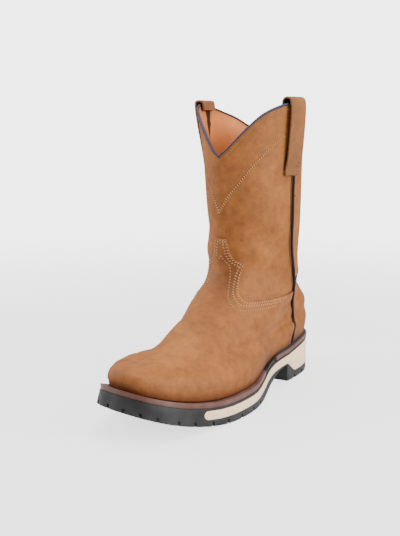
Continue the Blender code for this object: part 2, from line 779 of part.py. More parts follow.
def surface_grid(name, angles, levels, distance, closed):
    """Open surface that stands off the upper's outer face by a distance."""
    verts = []
    for level in levels:
        for angle in angles:
            spot = upper_point(angle, level)
            if distance:
                spot = spot + upper_normal(angle, level) * distance
            verts.append(place(*spot))
    across = len(angles)
    faces = []
    for row in range(len(levels) - 1):
        for i in range(across if closed else across - 1):
            j = (i + 1) % across
            low, high = row * across, (row + 1) * across
            faces.append((low + i, low + j, high + j, high + i))
    return mesh_object(name, verts, faces)


def thicken(obj, thickness, offset):
    modifier = obj.modifiers.new("wall", "SOLIDIFY")
    modifier.thickness = thickness
    modifier.offset = offset
    modifier.use_even_offset = False


def build_upper():
    upper = surface_grid("upper", upper_angles(), upper_levels(), 0.0, True)
    thicken(upper, UPPER_WALL, -1.0)
    show(upper, "tan_leather")


def overlay(name, first, last, top_level):
    """Leather laid over the upper between two directions, from the welt line up."""
    angles = [2 * math.pi * i / AROUND for i in range(first, last + 1)]
    levels = [level for level in upper_levels() if 1.0 <= level <= top_level]
    piece = surface_grid(name, angles, levels, OVERLAY_GAP, False)
    thicken(piece, OVERLAY, 1.0)
    return piece


def seam_side(offset):
    """The side seam's line in the side view, moved along the boot."""
    heights = steps(0.0, TONGUE_TOP + MARGIN_OF_CUT, 12)
    return [(seam_along(z) + offset, z) for z in heights]


def build_vamp():
    """Vamp with its stitched tongue over the instep."""
    vamp = overlay("vamp", -11, 11, SHAFT_START)
    room = PIPING_RADIUS + 2 * CLEARANCE
    far = OUTSOLE_LENGTH + MARGIN_OF_CUT
    front_part = seam_side(room) + [(far, TONGUE_TOP + MARGIN_OF_CUT), (far, 0.0)]
    combine(vamp, from_side("vamp_side_view", front_part), "INTERSECT")
    rise = TONGUE_TOP - SEAM_TOP
    half = [(across * SHAFT_WIDTH, SEAM_TOP + share * rise) for across, share in TONGUE_EDGE]
    half.append((BALL_WIDTH, SEAM_TOP))
    outer = [(SHAFT_LEAN + across, height) for across, height in half]
    inner = [(SHAFT_LEAN - across, height) for across, height in half[:0:-1]]
    edge = inner + outer + [(BALL_WIDTH, 0.0), (-BALL_WIDTH, 0.0)]
    front_view = flat_solid("vamp_front_view", [edge], -MARGIN_OF_CUT, far, FRONT_VIEW)
    front_view.data.transform(Matrix.Scale(-1, 4, (0, 1, 0)))
    front_view.data.flip_normals()
    combine(vamp, keep_as_cutter(front_view), "INTERSECT")
    show(vamp, "tan_leather")


def build_counter():
    """Heel counter laid over the back of the upper, between the side seams."""
    counter = overlay("heel_counter", 5, AROUND - 5, SHAFT_START)
    room = PIPING_RADIUS + 2 * CLEARANCE
    low_part = [(x, z) for x, z in seam_side(-room) if z < SEAM_TOP]
    edge = steps(seam_along(SEAM_TOP) - room, 0.0, 6)
    first = edge[0]
    top = [(x, SEAM_TOP + (COUNTER_TOP - SEAM_TOP) * ease((first - x) / first)) for x in edge]
    back = [(-MARGIN_OF_CUT, COUNTER_TOP), (-MARGIN_OF_CUT, 0.0)]
    combine(counter, from_side("heel_counter_side_view", low_part + top + back), "INTERSECT")
    show(counter, "tan_leather")


def tube(name, spots, radius):
    """Round cord through a list of spots, as a curve with a bevel."""
    curve = bpy.data.curves.new(name, "CURVE")
    curve.dimensions = "3D"
    curve.bevel_depth = radius
    curve.bevel_resolution = 1
    curve.use_fill_caps = True
    spline = curve.splines.new("POLY")
    spline.points.add(len(spots) - 1)
    for point, spot in zip(spline.points, spots):
        point.co = (*place(*spot), 1.0)
    return bpy.data.objects.new(name, curve)


def build_piping():
    """Dark piping in each side seam, from the welt up to the pull strap."""
    top = SHAFT_START + (STRAP_LOW - 0.004 - INSTEP_HEIGHT) / (collar_height(math.pi / 2) - INSTEP_HEIGHT)
    for side, name in ((1, "side_piping_outer"), (-1, "side_piping_inner")):
        spots = []
        for level in steps(1.15, top, PIPING_SPOTS):
            angle = seam_angle(level, side)
            lift = PIPING_RADIUS + OVERLAY_GAP + CLEARANCE
            spots.append(upper_point(angle, level) + upper_normal(angle, level) * lift)
        cord = tube(name, spots, PIPING_RADIUS)
        cord.data.materials.append(material_of("navy_binding"))
        boot.objects.link(cord)
        cord.parent = stand


def build_binding():
    """Binding folded over the collar's edge."""
    count = AROUND
    gap, skin = OVERLAY_GAP, BINDING_THICKNESS
    verts = []
    for i in range(count):
        angle = 2 * math.pi * i / count
        spot = upper_point(angle, UPPER_END)
        outward = upper_normal(angle, UPPER_END)
        below = (upper_point(angle, UPPER_END - 0.03) - spot).normalized()
        wall = UPPER_WALL
        corners = [
            (gap, 1.0), (gap + skin, 1.0), (gap + skin, None), (-wall - gap - skin, None),
            (-wall - gap - skin, 1.0), (-wall - gap, 1.0), (-wall - gap, 0.0), (gap, 0.0),
        ]
        for lift, down in corners:
            depth = -gap - skin if down is None else (-gap if down == 0.0 else BINDING_DEPTH)
            verts.append(place(*(spot + outward * lift + below * depth)))
    size = 8
    faces = []
    for i in range(count):
        j = (i + 1) % count
        for k in range(size):
            m = (k + 1) % size
            faces.append((i * size + k, i * size + m, j * size + m, j * size + k))
    binding = mesh_object("collar_binding", verts, faces)
    shape = bmesh.new()
    shape.from_mesh(binding.data)
    bmesh.ops.recalc_face_normals(shape, faces=shape.faces)
    shape.to_mesh(binding.data)
    shape.free()
    show(binding, "navy_binding")


def strap_path():
    """Middle line of a pull strap: how far it stands off the shaft's face, and its height."""
    half = STRAP_THICKNESS / 2
    outer_low = half + 2 * CLEARANCE
    past_edge = half + BINDING_THICKNESS + 3 * CLEARANCE
    inside = -UPPER_WALL - BINDING_THICKNESS - half - 4 * CLEARANCE
    outer_top = past_edge + STRAP_BULGE
    middle = (outer_top + inside) / 2
    loop = (outer_top - inside) / 2
    start = SHAFT_HEIGHT + 0.0005
    path = [(outer_low, STRAP_LOW), (outer_low, STRAP_LOW + 0.010), (outer_low + 0.0012, STRAP_LOW + 0.028)]
    path += [(past_edge, start - 0.018), (outer_top, start)]
    path += [
        (middle + loop * math.cos(turn), start + STRAP_LOOP * math.sin(turn))
        for turn in (math.radians(a) for a in (30, 60, 90, 120, 150))
    ]
    return path + [(inside, start), (inside, start - 0.015), (inside, STRAP_INSIDE_LOW)]


def build_straps():
    """Pull strap over each side seam, sewn to the shaft outside and inside."""
    path = strap_path()
    for side, name in ((1, "pull_strap_outer"), (-1, "pull_strap_inner")):
        widths = steps(-STRAP_WIDTH / 2, STRAP_WIDTH / 2, 4)
        verts = []
        for lift, height in path:
            for shift in widths:
                along = STRAP_PLACE + shift
                turn = math.acos((along - SHAFT_PLACE) / (SHAFT_DEPTH / 2))
                face = shaft_point(side * turn, height)
                verts.append(place(along, face.y + side * lift, height))
        size = len(widths)
        faces = []
        for row in range(len(path) - 1):
            for i in range(size - 1):
                low, high = row * size + i, (row + 1) * size + i
                faces.append((low, low + 1, high + 1, high))
        strap = mesh_object(name, verts, faces)
        thicken(strap, STRAP_THICKNESS, 0.0)
        show(strap, "tan_leather")


def stand_on_origin():
    """Moves the boot so that the middle of its box's underside is at the origin."""
    bpy.context.view_layer.update()
    graph = bpy.context.evaluated_depsgraph_get()
    spots = []
    for obj in boot.objects:
        if obj.type in ("MESH", "CURVE"):
            shape = obj.evaluated_get(graph)
            mesh = shape.to_mesh()
            spots += [obj.matrix_world @ vertex.co for vertex in mesh.vertices]
            shape.to_mesh_clear()
    low = [min(spot[axis] for spot in spots) for axis in range(3)]
    high = [max(spot[axis] for spot in spots) for axis in range(3)]
    stand.location = (-(low[0] + high[0]) / 2, -(low[1] + high[1]) / 2, -low[2])
    bpy.context.view_layer.update()


start_clean()
boot = new_collection("work_boot")
cutters = new_collection("cutters")
cutters.hide_render = True
stand = bpy.data.objects.new("stand", None)
boot.objects.link(stand)

build_outsole()
build_side_band()
build_inlays()
build_plug()
build_edge_strips()
build_insole()
build_upper()
build_vamp()
build_counter()
build_piping()
build_binding()
build_straps()
stand_on_origin()
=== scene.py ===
import math

import bmesh
import bpy
import numpy as np
from mathutils import Matrix, Vector


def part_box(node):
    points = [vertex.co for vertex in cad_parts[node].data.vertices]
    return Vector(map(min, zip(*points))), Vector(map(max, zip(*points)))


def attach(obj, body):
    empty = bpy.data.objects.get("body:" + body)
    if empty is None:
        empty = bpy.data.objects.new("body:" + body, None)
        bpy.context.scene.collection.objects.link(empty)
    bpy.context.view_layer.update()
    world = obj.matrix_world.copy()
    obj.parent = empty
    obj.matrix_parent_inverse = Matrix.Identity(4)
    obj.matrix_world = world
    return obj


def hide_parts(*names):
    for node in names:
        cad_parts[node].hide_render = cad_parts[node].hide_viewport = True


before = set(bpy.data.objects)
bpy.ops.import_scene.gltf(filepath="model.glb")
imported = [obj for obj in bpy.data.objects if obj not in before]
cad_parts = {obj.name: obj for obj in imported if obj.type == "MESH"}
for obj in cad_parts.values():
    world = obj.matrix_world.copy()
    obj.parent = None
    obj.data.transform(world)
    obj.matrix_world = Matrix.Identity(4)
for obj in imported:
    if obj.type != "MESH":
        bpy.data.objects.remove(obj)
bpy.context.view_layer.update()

# Outsole: one moulding of black nitrile rubber with a heel, an arch and a lugged tread.
# The sizes are the part's own: along from the heel's back to the toe, across towards the
# outer side, height from the floor. The red bars, the light band and the plug sit in it.

OUTSOLE_LENGTH = 0.308
BALL_WIDTH = 0.110
FOREFOOT_THICKNESS = 0.0168
HEEL_LIFT = 0.0182
TOE_SPRING = 0.0265
TOE_SPRING_START = 0.203
TOE_THINNING = 0.0026
CLEARANCE = 0.0003
OUTLINE_STEPS = 8
MOULDED_EDGE_TURN = 32

plug_low, plug_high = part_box("shank_plug")
sole_low, sole_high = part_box("outsole")
BOOT_PLACE = np.array([(plug_low.x + plug_high.x) / 2, sole_high.y, 0.0])


def smooth_step(x):
    x = np.clip(x, 0.0, 1.0)
    return x * x * (3 - 2 * x)


def between_four(a, b, c, d, t):
    """Smooth value between b and c, with a before and d after them."""
    second, third = 2 * a - 5 * b + 4 * c - d, 3 * b - a - 3 * c + d
    return 0.5 * (2 * b + (c - a) * t + second * t**2 + third * t**3)


def smooth_line(rows, column, count=400):
    """A column of a table as a dense line, read with np.interp."""
    rows = np.array(rows, float)
    places = np.linspace(rows[0, 0], rows[-1, 0], count)
    slopes = np.gradient(rows[:, column], rows[:, 0])
    slopes[1:-1] = (rows[2:, column] - rows[:-2, column]) / (rows[2:, 0] - rows[:-2, 0])
    k = np.clip(np.searchsorted(rows[:, 0], places, "right") - 1, 0, len(rows) - 2)
    width = rows[k + 1, 0] - rows[k, 0]
    t = (places - rows[k, 0]) / width
    values = (
        (2 * t**3 - 3 * t**2 + 1) * rows[k, column]
        + (t**3 - 2 * t**2 + t) * width * slopes[k]
        + (3 * t**2 - 2 * t**3) * rows[k + 1, column]
        + (t**3 - t**2) * width * slopes[k + 1]
    )
    return places, values


deck_line = smooth_line([
    (0.000, 1.000), (0.100, 0.970), (0.175, 0.865), (0.214, 0.755), (0.250, 0.650),
    (0.285, 0.600), (0.338, 0.540), (0.383, 0.420), (0.420, 0.275), (0.460, 0.140),
    (0.535, 0.000),
], 1)


def toe_reach(along):
    """How far a spot lies past the ball, up to 1 at the toe's tip."""
    return np.maximum((along - TOE_SPRING_START) / (OUTSOLE_LENGTH - TOE_SPRING_START), 0.0)


def toe_rise(along):
    return TOE_SPRING * toe_reach(along) ** 2


def deck(along):
    """Height of the outsole's top, on which the upper stands."""
    lift = HEEL_LIFT * np.interp(np.asarray(along) / OUTSOLE_LENGTH, *deck_line)
    return FOREFOOT_THICKNESS + lift + toe_rise(along) - TOE_THINNING * toe_reach(along)


# Outline of the sole from the toe tip round the outer side, the heel and the inner side
outline_rows = np.array([
    (1.000, -0.064), (0.996, 0.022), (0.977, 0.137), (0.939, 0.228), (0.881, 0.308),
    (0.829, 0.360), (0.768, 0.418), (0.709, 0.457), (0.645, 0.479), (0.575, 0.479),
    (0.514, 0.451), (0.435, 0.390), (0.375, 0.352), (0.300, 0.338), (0.240, 0.345),
    (0.174, 0.345), (0.118, 0.325), (0.066, 0.276), (0.022, 0.178), (0.000, 0.010),
    (0.022, -0.176), (0.066, -0.270), (0.118, -0.322), (0.191, -0.343), (0.267, -0.330),
    (0.333, -0.299), (0.389, -0.293), (0.446, -0.318), (0.508, -0.389), (0.584, -0.477),
    (0.649, -0.510), (0.713, -0.521), (0.768, -0.506), (0.827, -0.464), (0.892, -0.407),
    (0.943, -0.343), (0.978, -0.250), (0.996, -0.158),
])


def outline_moved(points, distance):
    """A closed outline moved outwards by a distance, which may differ from point to point."""
    tangent = np.roll(points, -1, 0) - np.roll(points, 1, 0)
    tangent = tangent / np.linalg.norm(tangent, axis=1, keepdims=True)
    outward = np.stack([tangent[:, 1], -tangent[:, 0]], 1)
    return points + outward * np.reshape(distance, (-1, 1))


def sole_outline(inset=0.0):
    """Smooth outline of the sole as (along, across), moved inwards by an inset."""
    four = [np.roll(outline_rows, shift, 0)[:, None] for shift in (1, 0, -1, -2)]
    t = (np.arange(OUTLINE_STEPS) / OUTLINE_STEPS)[None, :, None]
    points = between_four(*four, t).reshape(-1, 2) * (OUTSOLE_LENGTH, BALL_WIDTH)
    return outline_moved(points, -inset)


# The toe's inner corner rises and draws in: where, by how much, and from which height
# above the sole's rise it fades and over what height
TOE_CENTRE = (0.236, -0.004)
TOE_DRAW_TURN = -0.62
TOE_DRAW_SPREAD = 0.55
TOE_DRAW_START = 0.015
TOE_DRAW_GROWTH = 0.045
WELT_DRAW = 0.0035
WELT_HEIGHT = 0.014
UPPER_DRAW = 0.0040
UPPER_INSET = 0.001
UPPER_EDGE_FADE = 0.0035
TOE_CORNER_RISE = 0.0062
SOLE_THINNING = 0.0028
DRAW_FADE = (0.032, 0.030)
RISE_FADE = (0.020, 0.034)

edge_spots = sole_outline() - TOE_CENTRE
edge_turns = np.arctan2(edge_spots[:, 1], edge_spots[:, 0])
edge_order = np.argsort(edge_turns)
edge_reach = np.hypot(edge_spots[:, 0], edge_spots[:, 1])


def faded(height, start, length):
    return 1 - smooth_step((height - start) / length)


def toe_draw(along, across, height):
    """Shift of a spot by which the toe's inner corner rises and draws in."""
    ahead, aside = along - TOE_CENTRE[0], across - TOE_CENTRE[1]
    reach, turn = np.hypot(ahead, aside), np.arctan2(aside, ahead)
    share = np.exp(-(((turn - TOE_DRAW_TURN) / TOE_DRAW_SPREAD) ** 2))
    share = share * smooth_step((reach - TOE_DRAW_START) / TOE_DRAW_GROWTH)
    above = height - toe_rise(along)
    on_sole = smooth_step(above / WELT_HEIGHT)
    edge = np.interp(turn, edge_turns[edge_order], edge_reach[edge_order], period=2 * math.pi)
    inside = smooth_step((edge - reach - UPPER_INSET) / UPPER_EDGE_FADE)
    inward = share * on_sole * (WELT_DRAW + UPPER_DRAW * inside) * faded(above, *DRAW_FADE)
    lift = share * (TOE_CORNER_RISE - SOLE_THINNING * on_sole) * faded(above, *RISE_FADE)
    reach = np.maximum(reach, 1e-6)
    return -inward * ahead / reach, -inward * aside / reach, lift


def boot_place(along, across, height):
    """Spots of the boot in the scene's own axes."""
    along, across, height = np.broadcast_arrays(np.asarray(along, float), across, height)
    shift = toe_draw(along, across, height)
    spots = np.stack([across + shift[1], -along - shift[0], height + shift[2]], -1)
    return spots + BOOT_PLACE


def add_node(tree, kind, inputs=(), **settings):
    """A new node with its settings and the values of its inputs."""
    node = tree.nodes.new(kind)
    for name, value in settings.items():
        setattr(node, name, value)
    for name, value in dict(inputs).items():
        node.inputs[name].default_value = value
    return node


def join(tree, *links):
    """Links, each from a node's output to another node's input."""
    for source, output, target, socket in links:
        tree.links.new(source.outputs[output], target.inputs[socket])


def new_finish(name):
    """A new material, its tree, its shader and the node that gives the object's own places."""
    material = bpy.data.materials.new(name)
    material.use_nodes = True
    tree = material.node_tree
    return material, tree, tree.nodes["Principled BSDF"], tree.nodes.new("ShaderNodeTexCoord")


def texture(tree, place, kind, inputs, **settings):
    """A texture fixed to the object's own places."""
    node = add_node(tree, kind, inputs, **settings)
    join(tree, (place, "Object", node, "Vector"))
    return node


def tone_ramp(tree, *stops):
    """A colour ramp of two or more stops, the first two at its ends."""
    node = tree.nodes.new("ShaderNodeValToRGB")
    elements = node.color_ramp.elements
    for index, (spot, colour) in enumerate(stops):
        stop = elements[index] if index < 2 else elements.new(spot)
        stop.position = spot
        stop.color = (*colour, 1)
    return node


def add_bump(tree, target, source, output, strength, distance):
    """Bump from a node's height, on the normal of a shader or of another bump."""
    bump = add_node(tree, "ShaderNodeBump", {"Strength": strength, "Distance": distance})
    join(tree, (source, output, bump, "Height"), (bump, "Normal", target, "Normal"))


def rubber_finish(name, colour, roughness, dust):
    """Moulded rubber: fine grain, slight change of shine and a little pale dust."""
    material, tree, shader, place = new_finish(name)
    shader.inputs["Specular IOR Level"].default_value = 0.3
    grain = texture(tree, place, "ShaderNodeTexNoise", {"Scale": 1800, "Detail": 3})
    cloud = texture(tree, place, "ShaderNodeTexNoise", {"Scale": 45, "Detail": 6})
    tone = tone_ramp(tree, (0.35, colour), (0.75, [c + (1 - c) * dust for c in colour]))
    shine_range = {"To Min": roughness - 0.08, "To Max": roughness + 0.12}
    shine = add_node(tree, "ShaderNodeMapRange", shine_range)
    join(
        tree,
        (cloud, "Fac", tone, "Fac"), (tone, "Color", shader, "Base Color"),
        (cloud, "Fac", shine, "Value"), (shine, "Result", shader, "Roughness"),
    )
    add_bump(tree, shader, grain, "Fac", 0.25, 0.0002)
    return material


FACING_DOWN = -0.6
RIBS_START = 0.128


def tread_ribs(material):
    """Fine cross ribs moulded in the tread under the toe and at the heel's back."""
    tree = material.node_tree
    grain_bump = tree.nodes["Bump"]
    place = tree.nodes.new("ShaderNodeTexCoord")
    ribs = texture(tree, place, "ShaderNodeTexWave", {"Scale": 95}, bands_direction="Y")
    facing = tree.nodes.new("ShaderNodeNewGeometry")
    facing_axes = tree.nodes.new("ShaderNodeSeparateXYZ")
    axes = tree.nodes.new("ShaderNodeSeparateXYZ")
    down = add_node(tree, "ShaderNodeMath", {1: FACING_DOWN}, operation="LESS_THAN")
    far = add_node(tree, "ShaderNodeMath", operation="ABSOLUTE")
    ends = add_node(tree, "ShaderNodeMath", {1: RIBS_START}, operation="GREATER_THAN")
    where = add_node(tree, "ShaderNodeMath", operation="MULTIPLY")
    height = add_node(tree, "ShaderNodeMath", operation="MULTIPLY")
    join(
        tree,
        (facing, "Normal", facing_axes, "Vector"), (facing_axes, "Z", down, 0),
        (place, "Object", axes, "Vector"), (axes, "Y", far, 0), (far, "Value", ends, 0),
        (down, "Value", where, 0), (ends, "Value", where, 1),
        (ribs, "Fac", height, 0), (where, "Value", height, 1),
    )
    add_bump(tree, grain_bump, height, "Value", 0.8, 0.0012)


def put_in_scene(name, data):
    thing = bpy.data.objects.new(name, data)
    bpy.context.scene.collection.objects.link(thing)
    return thing


def round_edges(piece, width, degrees):
    """Rounds the edges that turn by more than some degrees."""
    rim = piece.modifiers.new("rim", "BEVEL")
    rim.width = width
    rim.segments = 2
    rim.limit_method = "ANGLE"
    rim.angle_limit = math.radians(degrees)


def settle(piece):
    """Applies a piece's modifiers and leaves a plain mesh."""
    bpy.context.view_layer.update()
    done = bpy.data.meshes.new_from_object(piece.evaluated_get(bpy.context.evaluated_depsgraph_get()))
    piece.modifiers.clear()
    piece.data = done


def softened(name, node, width, material):
    """Finer copy of a CAD solid with its edges rounded as they leave the mould."""
    shape = bmesh.new()
    shape.from_mesh(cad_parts[node].data)
    bmesh.ops.remove_doubles(shape, verts=shape.verts, dist=1e-5)
    bmesh.ops.dissolve_limit(shape, angle_limit=math.radians(0.5), verts=shape.verts, edges=shape.edges)
    mesh = bpy.data.meshes.new(name)
    shape.to_mesh(mesh)
    shape.free()
    mesh.transform(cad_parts[node].matrix_world)
    spots = np.empty(len(mesh.vertices) * 3, np.float32)
    mesh.vertices.foreach_get("co", spots)
    spots = spots.reshape(-1, 3).astype(float) - BOOT_PLACE
    spots = boot_place(-spots[:, 1], spots[:, 0], spots[:, 2])
    mesh.vertices.foreach_set("co", np.ascontiguousarray(spots, np.float32).ravel())
    mesh.materials.clear()
    mesh.materials.append(material)
    piece = put_in_scene(name, mesh)
    round_edges(piece, width, MOULDED_EDGE_TURN)
    settle(piece)
    piece.data.shade_smooth()
    piece.data.set_sharp_from_angle(angle=math.radians(MOULDED_EDGE_TURN))
    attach(piece, "root")
    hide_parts(node)


black_rubber = rubber_finish("black_rubber_finish", (0.011, 0.011, 0.012), 0.50, 0.03)
tread_ribs(black_rubber)
softened("outsole_moulding", "outsole", 0.0005, black_rubber)

# Side band: a strip of cream rubber let into the outsole's side, from the ball round the
# heel. Moulded in one piece and bonded in its groove.

cream_rubber = rubber_finish("cream_rubber_finish", (1.0, 0.71, 0.43), 0.55, 0.05)
softened("side_band_strip", "side_band", 0.0004, cream_rubber)

# Tread inlays and shank plug: red zigzag bars in the tread's channels, and a plain oval
# plug under the shank. Moulded rubber, bonded in place.

red_rubber = rubber_finish("red_rubber_finish", (0.72, 0.022, 0.020), 0.42, 0.04)
orange_rubber = rubber_finish("orange_rubber_finish", (0.80, 0.22, 0.03), 0.45, 0.04)
for number in range(1, 8):
    softened(f"tread_bar_{number}", f"tread_inlay_{number}", 0.0003, red_rubber)
softened("shank_plug_disc", "shank_plug", 0.0003, orange_rubber)

# Welt: a waxed strip of reddish-brown leather round the forefoot, which lies on the
# outsole's edge and carries the upper's seam.

welt_brown = rubber_finish("welt_finish", (0.105, 0.038, 0.024), 0.42, 0.06)
softened("welt_strip", "welt", 0.0006, welt_brown)

# Heel rand: the same waxed leather round the heel, glued on the outsole's edge. Its dark
# raised rim cups the heel and runs out towards the waist.

RAND_START = 0.104
RAND_HEIGHT = 0.0040
RAND_RIM_HEIGHT = 0.0085
RAND_TAPER = 0.016
RAND_MARGIN = 0.0046
RAND_EDGE_TURN = 40

rim_brown = rubber_finish("rim_finish", (0.010, 0.006, 0.005), 0.55, 0.01)


def heel_line(inset):
    """The part of the sole's outline round the heel."""
    line = sole_outline(inset)
    start = int(np.argmax(line[:, 0]))
    kept = np.roll(sole_outline(), -start, 0)[:, 0] < RAND_START
    return np.roll(line, -start, 0)[kept]


def grid_faces(rows, columns, closed):
    """Faces of a grid of spots, whose columns may close to a ring."""
    faces = []
    for low in range(0, (rows - 1) * columns, columns):
        for i in range(columns if closed else columns - 1):
            j = (i + 1) % columns
            faces.append((low + i, low + j, low + columns + j, low + columns + i))
    return faces


def rod_faces(rows, columns):
    """Faces of a rod of closed rings with a face at each end."""
    ends = [tuple(range(columns))[::-1], tuple((rows - 1) * columns + i for i in range(columns))]
    return grid_faces(rows, columns, True) + ends


def new_piece(name, spots, faces, material):
    """A mesh object of the boot, smooth shaded, in the scene's own axes."""
    mesh = bpy.data.meshes.new(name)
    mesh.from_pydata(boot_place(*np.reshape(spots, (-1, 3)).T).tolist(), [], faces)
    mesh.materials.append(material)
    mesh.shade_smooth()
    return put_in_scene(name, mesh)


def face_outwards(piece):
    shape = bmesh.new()
    shape.from_mesh(piece.data)
    bmesh.ops.recalc_face_normals(shape, faces=shape.faces)
    shape.to_mesh(piece.data)
    shape.free()


rand_profile = [
    # inset, lift, share of the edge's height, share of the rim's height
    (0.0004, 0.0002, 0.0, 0.0),
    (-0.0004, 0.0012, 0.0, 0.0),
    (-0.0004, 0.0, 1.0, 0.0),
    (0.0008, 0.0, 1.12, 0.0),
    (0.0030, 0.0, 0.0, 0.97087),
    (RAND_MARGIN, 0.0, 0.0, 1.02913),
    (RAND_MARGIN, 0.0002, 0.0, 0.0),
]
rand_lines = []
for inset, base, edge_share, rim_share in rand_profile:
    line = heel_line(inset)
    taper = smooth_step((RAND_START - line[:, 0]) / RAND_TAPER + 0.25)
    rim_height = RAND_HEIGHT + (RAND_RIM_HEIGHT - RAND_HEIGHT) * taper
    lift = base + edge_share * RAND_HEIGHT + rim_share * rim_height
    rand_lines.append(np.column_stack([line, deck(line[:, 0]) + lift]))
rand_spots = np.stack(rand_lines, 1)
spans, size = len(rand_spots), len(rand_profile)
heel_rand = new_piece("heel_rand_strip", rand_spots, rod_faces(spans, size), welt_brown)
heel_rand.data.materials.append(rim_brown)
for index, face in enumerate(heel_rand.data.polygons[: (spans - 1) * size]):
    face.material_index = 1 if 3 <= index % size <= 5 else 0
face_outwards(heel_rand)
heel_rand.data.set_sharp_from_angle(angle=math.radians(RAND_EDGE_TURN))
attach(heel_rand, "root")
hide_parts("heel_rand")

# Waist strips: black rubber on both sides of the waist, glued on the outsole between the
# welt and the heel rand.

softened("waist_strip_outer", "waist_rand_outer", 0.0005, black_rubber)
softened("waist_strip_inner", "waist_rand_inner", 0.0005, black_rubber)

# Insole: a flat board of smooth tan leather, cut to the foot's shape. It lies loose on the
# outsole inside the upper.


def shade_and_tone_darkening(tree, shader, source, output, dark):
    """Darkens a colour by the piece's own layer: painted shade, and on the straps an even darker tone."""
    painted_shade_and_tone = add_node(tree, "ShaderNodeAttribute", attribute_name="painted_shade_and_tone")
    shade = add_node(tree, "ShaderNodeMix", data_type="RGBA", blend_type="MULTIPLY")
    shade.inputs["B"].default_value = (*dark, 1)
    join(
        tree,
        (painted_shade_and_tone, "Fac", shade, "Factor"), (source, output, shade, "A"),
        (shade, "Result", shader, "Base Color"),
    )


def lining_finish(name, colour, darker):
    """Smooth lining leather with soft clouds of tone and fine pores."""
    material, tree, shader, place = new_finish(name)
    shader.inputs["Roughness"].default_value = 0.55
    shader.inputs["Specular IOR Level"].default_value = 0.15
    cloud = texture(tree, place, "ShaderNodeTexNoise", {"Scale": 32, "Detail": 5})
    pores = texture(tree, place, "ShaderNodeTexVoronoi", {"Scale": 1400})
    tone = tone_ramp(tree, (0.3, darker), (0.7, colour))
    join(tree, (cloud, "Fac", tone, "Fac"))
    # Painted shadow in the side seam's gap, from the piece's own layer
    shade_and_tone_darkening(tree, shader, tone, "Color", (0.03, 0.03, 0.03))
    add_bump(tree, shader, pores, "Distance", 0.2, 0.0002)
    return material


lining_leather = lining_finish("lining_finish", (0.68, 0.225, 0.062), (0.42, 0.120, 0.030))
softened("insole_board", "insole", 0.0004, lining_leather)

# Upper: the boot's body of oiled nubuck over a tan lining, lasted to the sole. One wall
# that is open at the collar and underneath, worked out from the part's own rings.

UPPER_WALL = 0.0024
COLLAR_WALL = 0.0013
COLLAR_SKIVING = (0.86, 0.12)
INSTEP_HEIGHT = 0.160
SHAFT_HEIGHT = 0.277
SHAFT_DEPTH = 0.121
SHAFT_WIDTH = 0.097
SHAFT_PLACE = 0.0878
SHAFT_LEAN = -0.0028
SHAFT_NOSE = 1.78
SHAFT_TAIL = 2.0
FRONT_DIP = 0.049
BACK_DIP = 0.036
TOE_MARGIN = 0.0068
HEEL_MARGIN = 0.0042
WALL_RISE = 0.024
RING_POINTS = 224
LEVEL_STEPS = 8
SHAFT_LEVEL_STEPS = 32

wall_rows = [
    # front, back, spread, heel, rise
    (1.000, 0.000, 1.000, 1.000, 0.026),
    (1.000, 0.000, 1.000, 1.000, 0.235),
    (1.003, -0.001, 1.026, 1.040, 0.600),
    (0.977, 0.001, 0.998, 1.070, 0.960),
]
body_rows = [
    # front, front height, back, back height, side height, spread, outer, inner, foot,
    # nose, heel, tail
    (0.860, 0.362, 0.0106, 0.430, 0.350, 0.729, 0.395, 0.329, 0.85, 2.20, 1.02, 2.00),
    (0.788, 0.360, 0.0127, 0.485, 0.412, 0.708, 0.417, 0.320, 0.65, 2.10, 1.08, 1.97),
    (0.716, 0.416, 0.0232, 0.540, 0.462, 0.707, 0.427, 0.312, 0.40, 1.95, 0.92, 1.93),
    (0.633, 0.495, 0.0458, 0.580, 0.518, 0.645, 0.440, 0.310, 0.20, 1.85, 0.88, 1.88),
    (0.550, 0.584, 0.0731, 0.617, 0.580, 0.600, 0.438, 0.312, 0.00, 1.80, 0.70, 1.75),
    (0.486, 0.675, 0.0832, 0.655, 0.644, 0.600, 0.436, 0.322, 0.00, 1.78, 0.70, 1.72),
    (0.459, 0.784, 0.0822, 0.705, 0.719, 0.600, 0.444, 0.330, 0.00, 1.78, 0.70, 1.82),
    (0.463, 0.890, 0.0818, 0.805, 0.825, 0.600, 0.430, 0.330, 0.00, 1.78, 0.70, 1.93),
]
shaft_rows = [
    # height, front, back, outer, inner
    (0.578, 0.932, 1.022, 0.978, 0.720), (0.650, 0.972, 1.013, 0.994, 0.771),
    (0.820, 1.008, 1.006, 1.012, 0.867), (1.000, 1.027, 1.013, 1.065, 1.065),
    (1.080, 1.027, 1.013, 1.065, 1.065),
]
shaft_lines = [smooth_line(shaft_rows, column) for column in (1, 2, 3, 4)]
front_edge = smooth_line(
    [(0, 1.00), (10, 0.86), (20, 0.67), (33, 0.43), (46, 0.23), (60, 0.10), (75, 0.02), (90, 0.0)], 1
)
back_edge = smooth_line(
    [(90, 0.06), (101, 0.11), (116, 0.24), (129, 0.38), (144, 0.62), (158, 0.84), (180, 1.0)], 1
)
LAST_WALL = len(wall_rows)
SHAFT_START = LAST_WALL + len(body_rows)
COLLAR = SHAFT_START + 1

foot_margin = HEEL_MARGIN + (TOE_MARGIN - HEEL_MARGIN) * smooth_step(
    (sole_outline()[:, 0] / OUTSOLE_LENGTH - 0.30) / 0.30
)
feather = outline_moved(sole_outline(), -foot_margin)
feather_turns = np.arctan2(
    (feather[:, 1] - SHAFT_LEAN) / BALL_WIDTH, (feather[:, 0] - OUTSOLE_LENGTH / 2) / OUTSOLE_LENGTH
)
feather_order = np.argsort(feather_turns)
feather_front, feather_back = feather[:, 0].max(), feather[:, 0].min()


def feather_at(angle):
    """The feather line in a direction, stretched to the foot's length and width."""
    turn = (angle + math.pi) % (2 * math.pi) - math.pi
    known, line = feather_turns[feather_order], feather[feather_order]
    return [np.interp(turn, known, line[:, axis], period=2 * math.pi) for axis in (0, 1)]


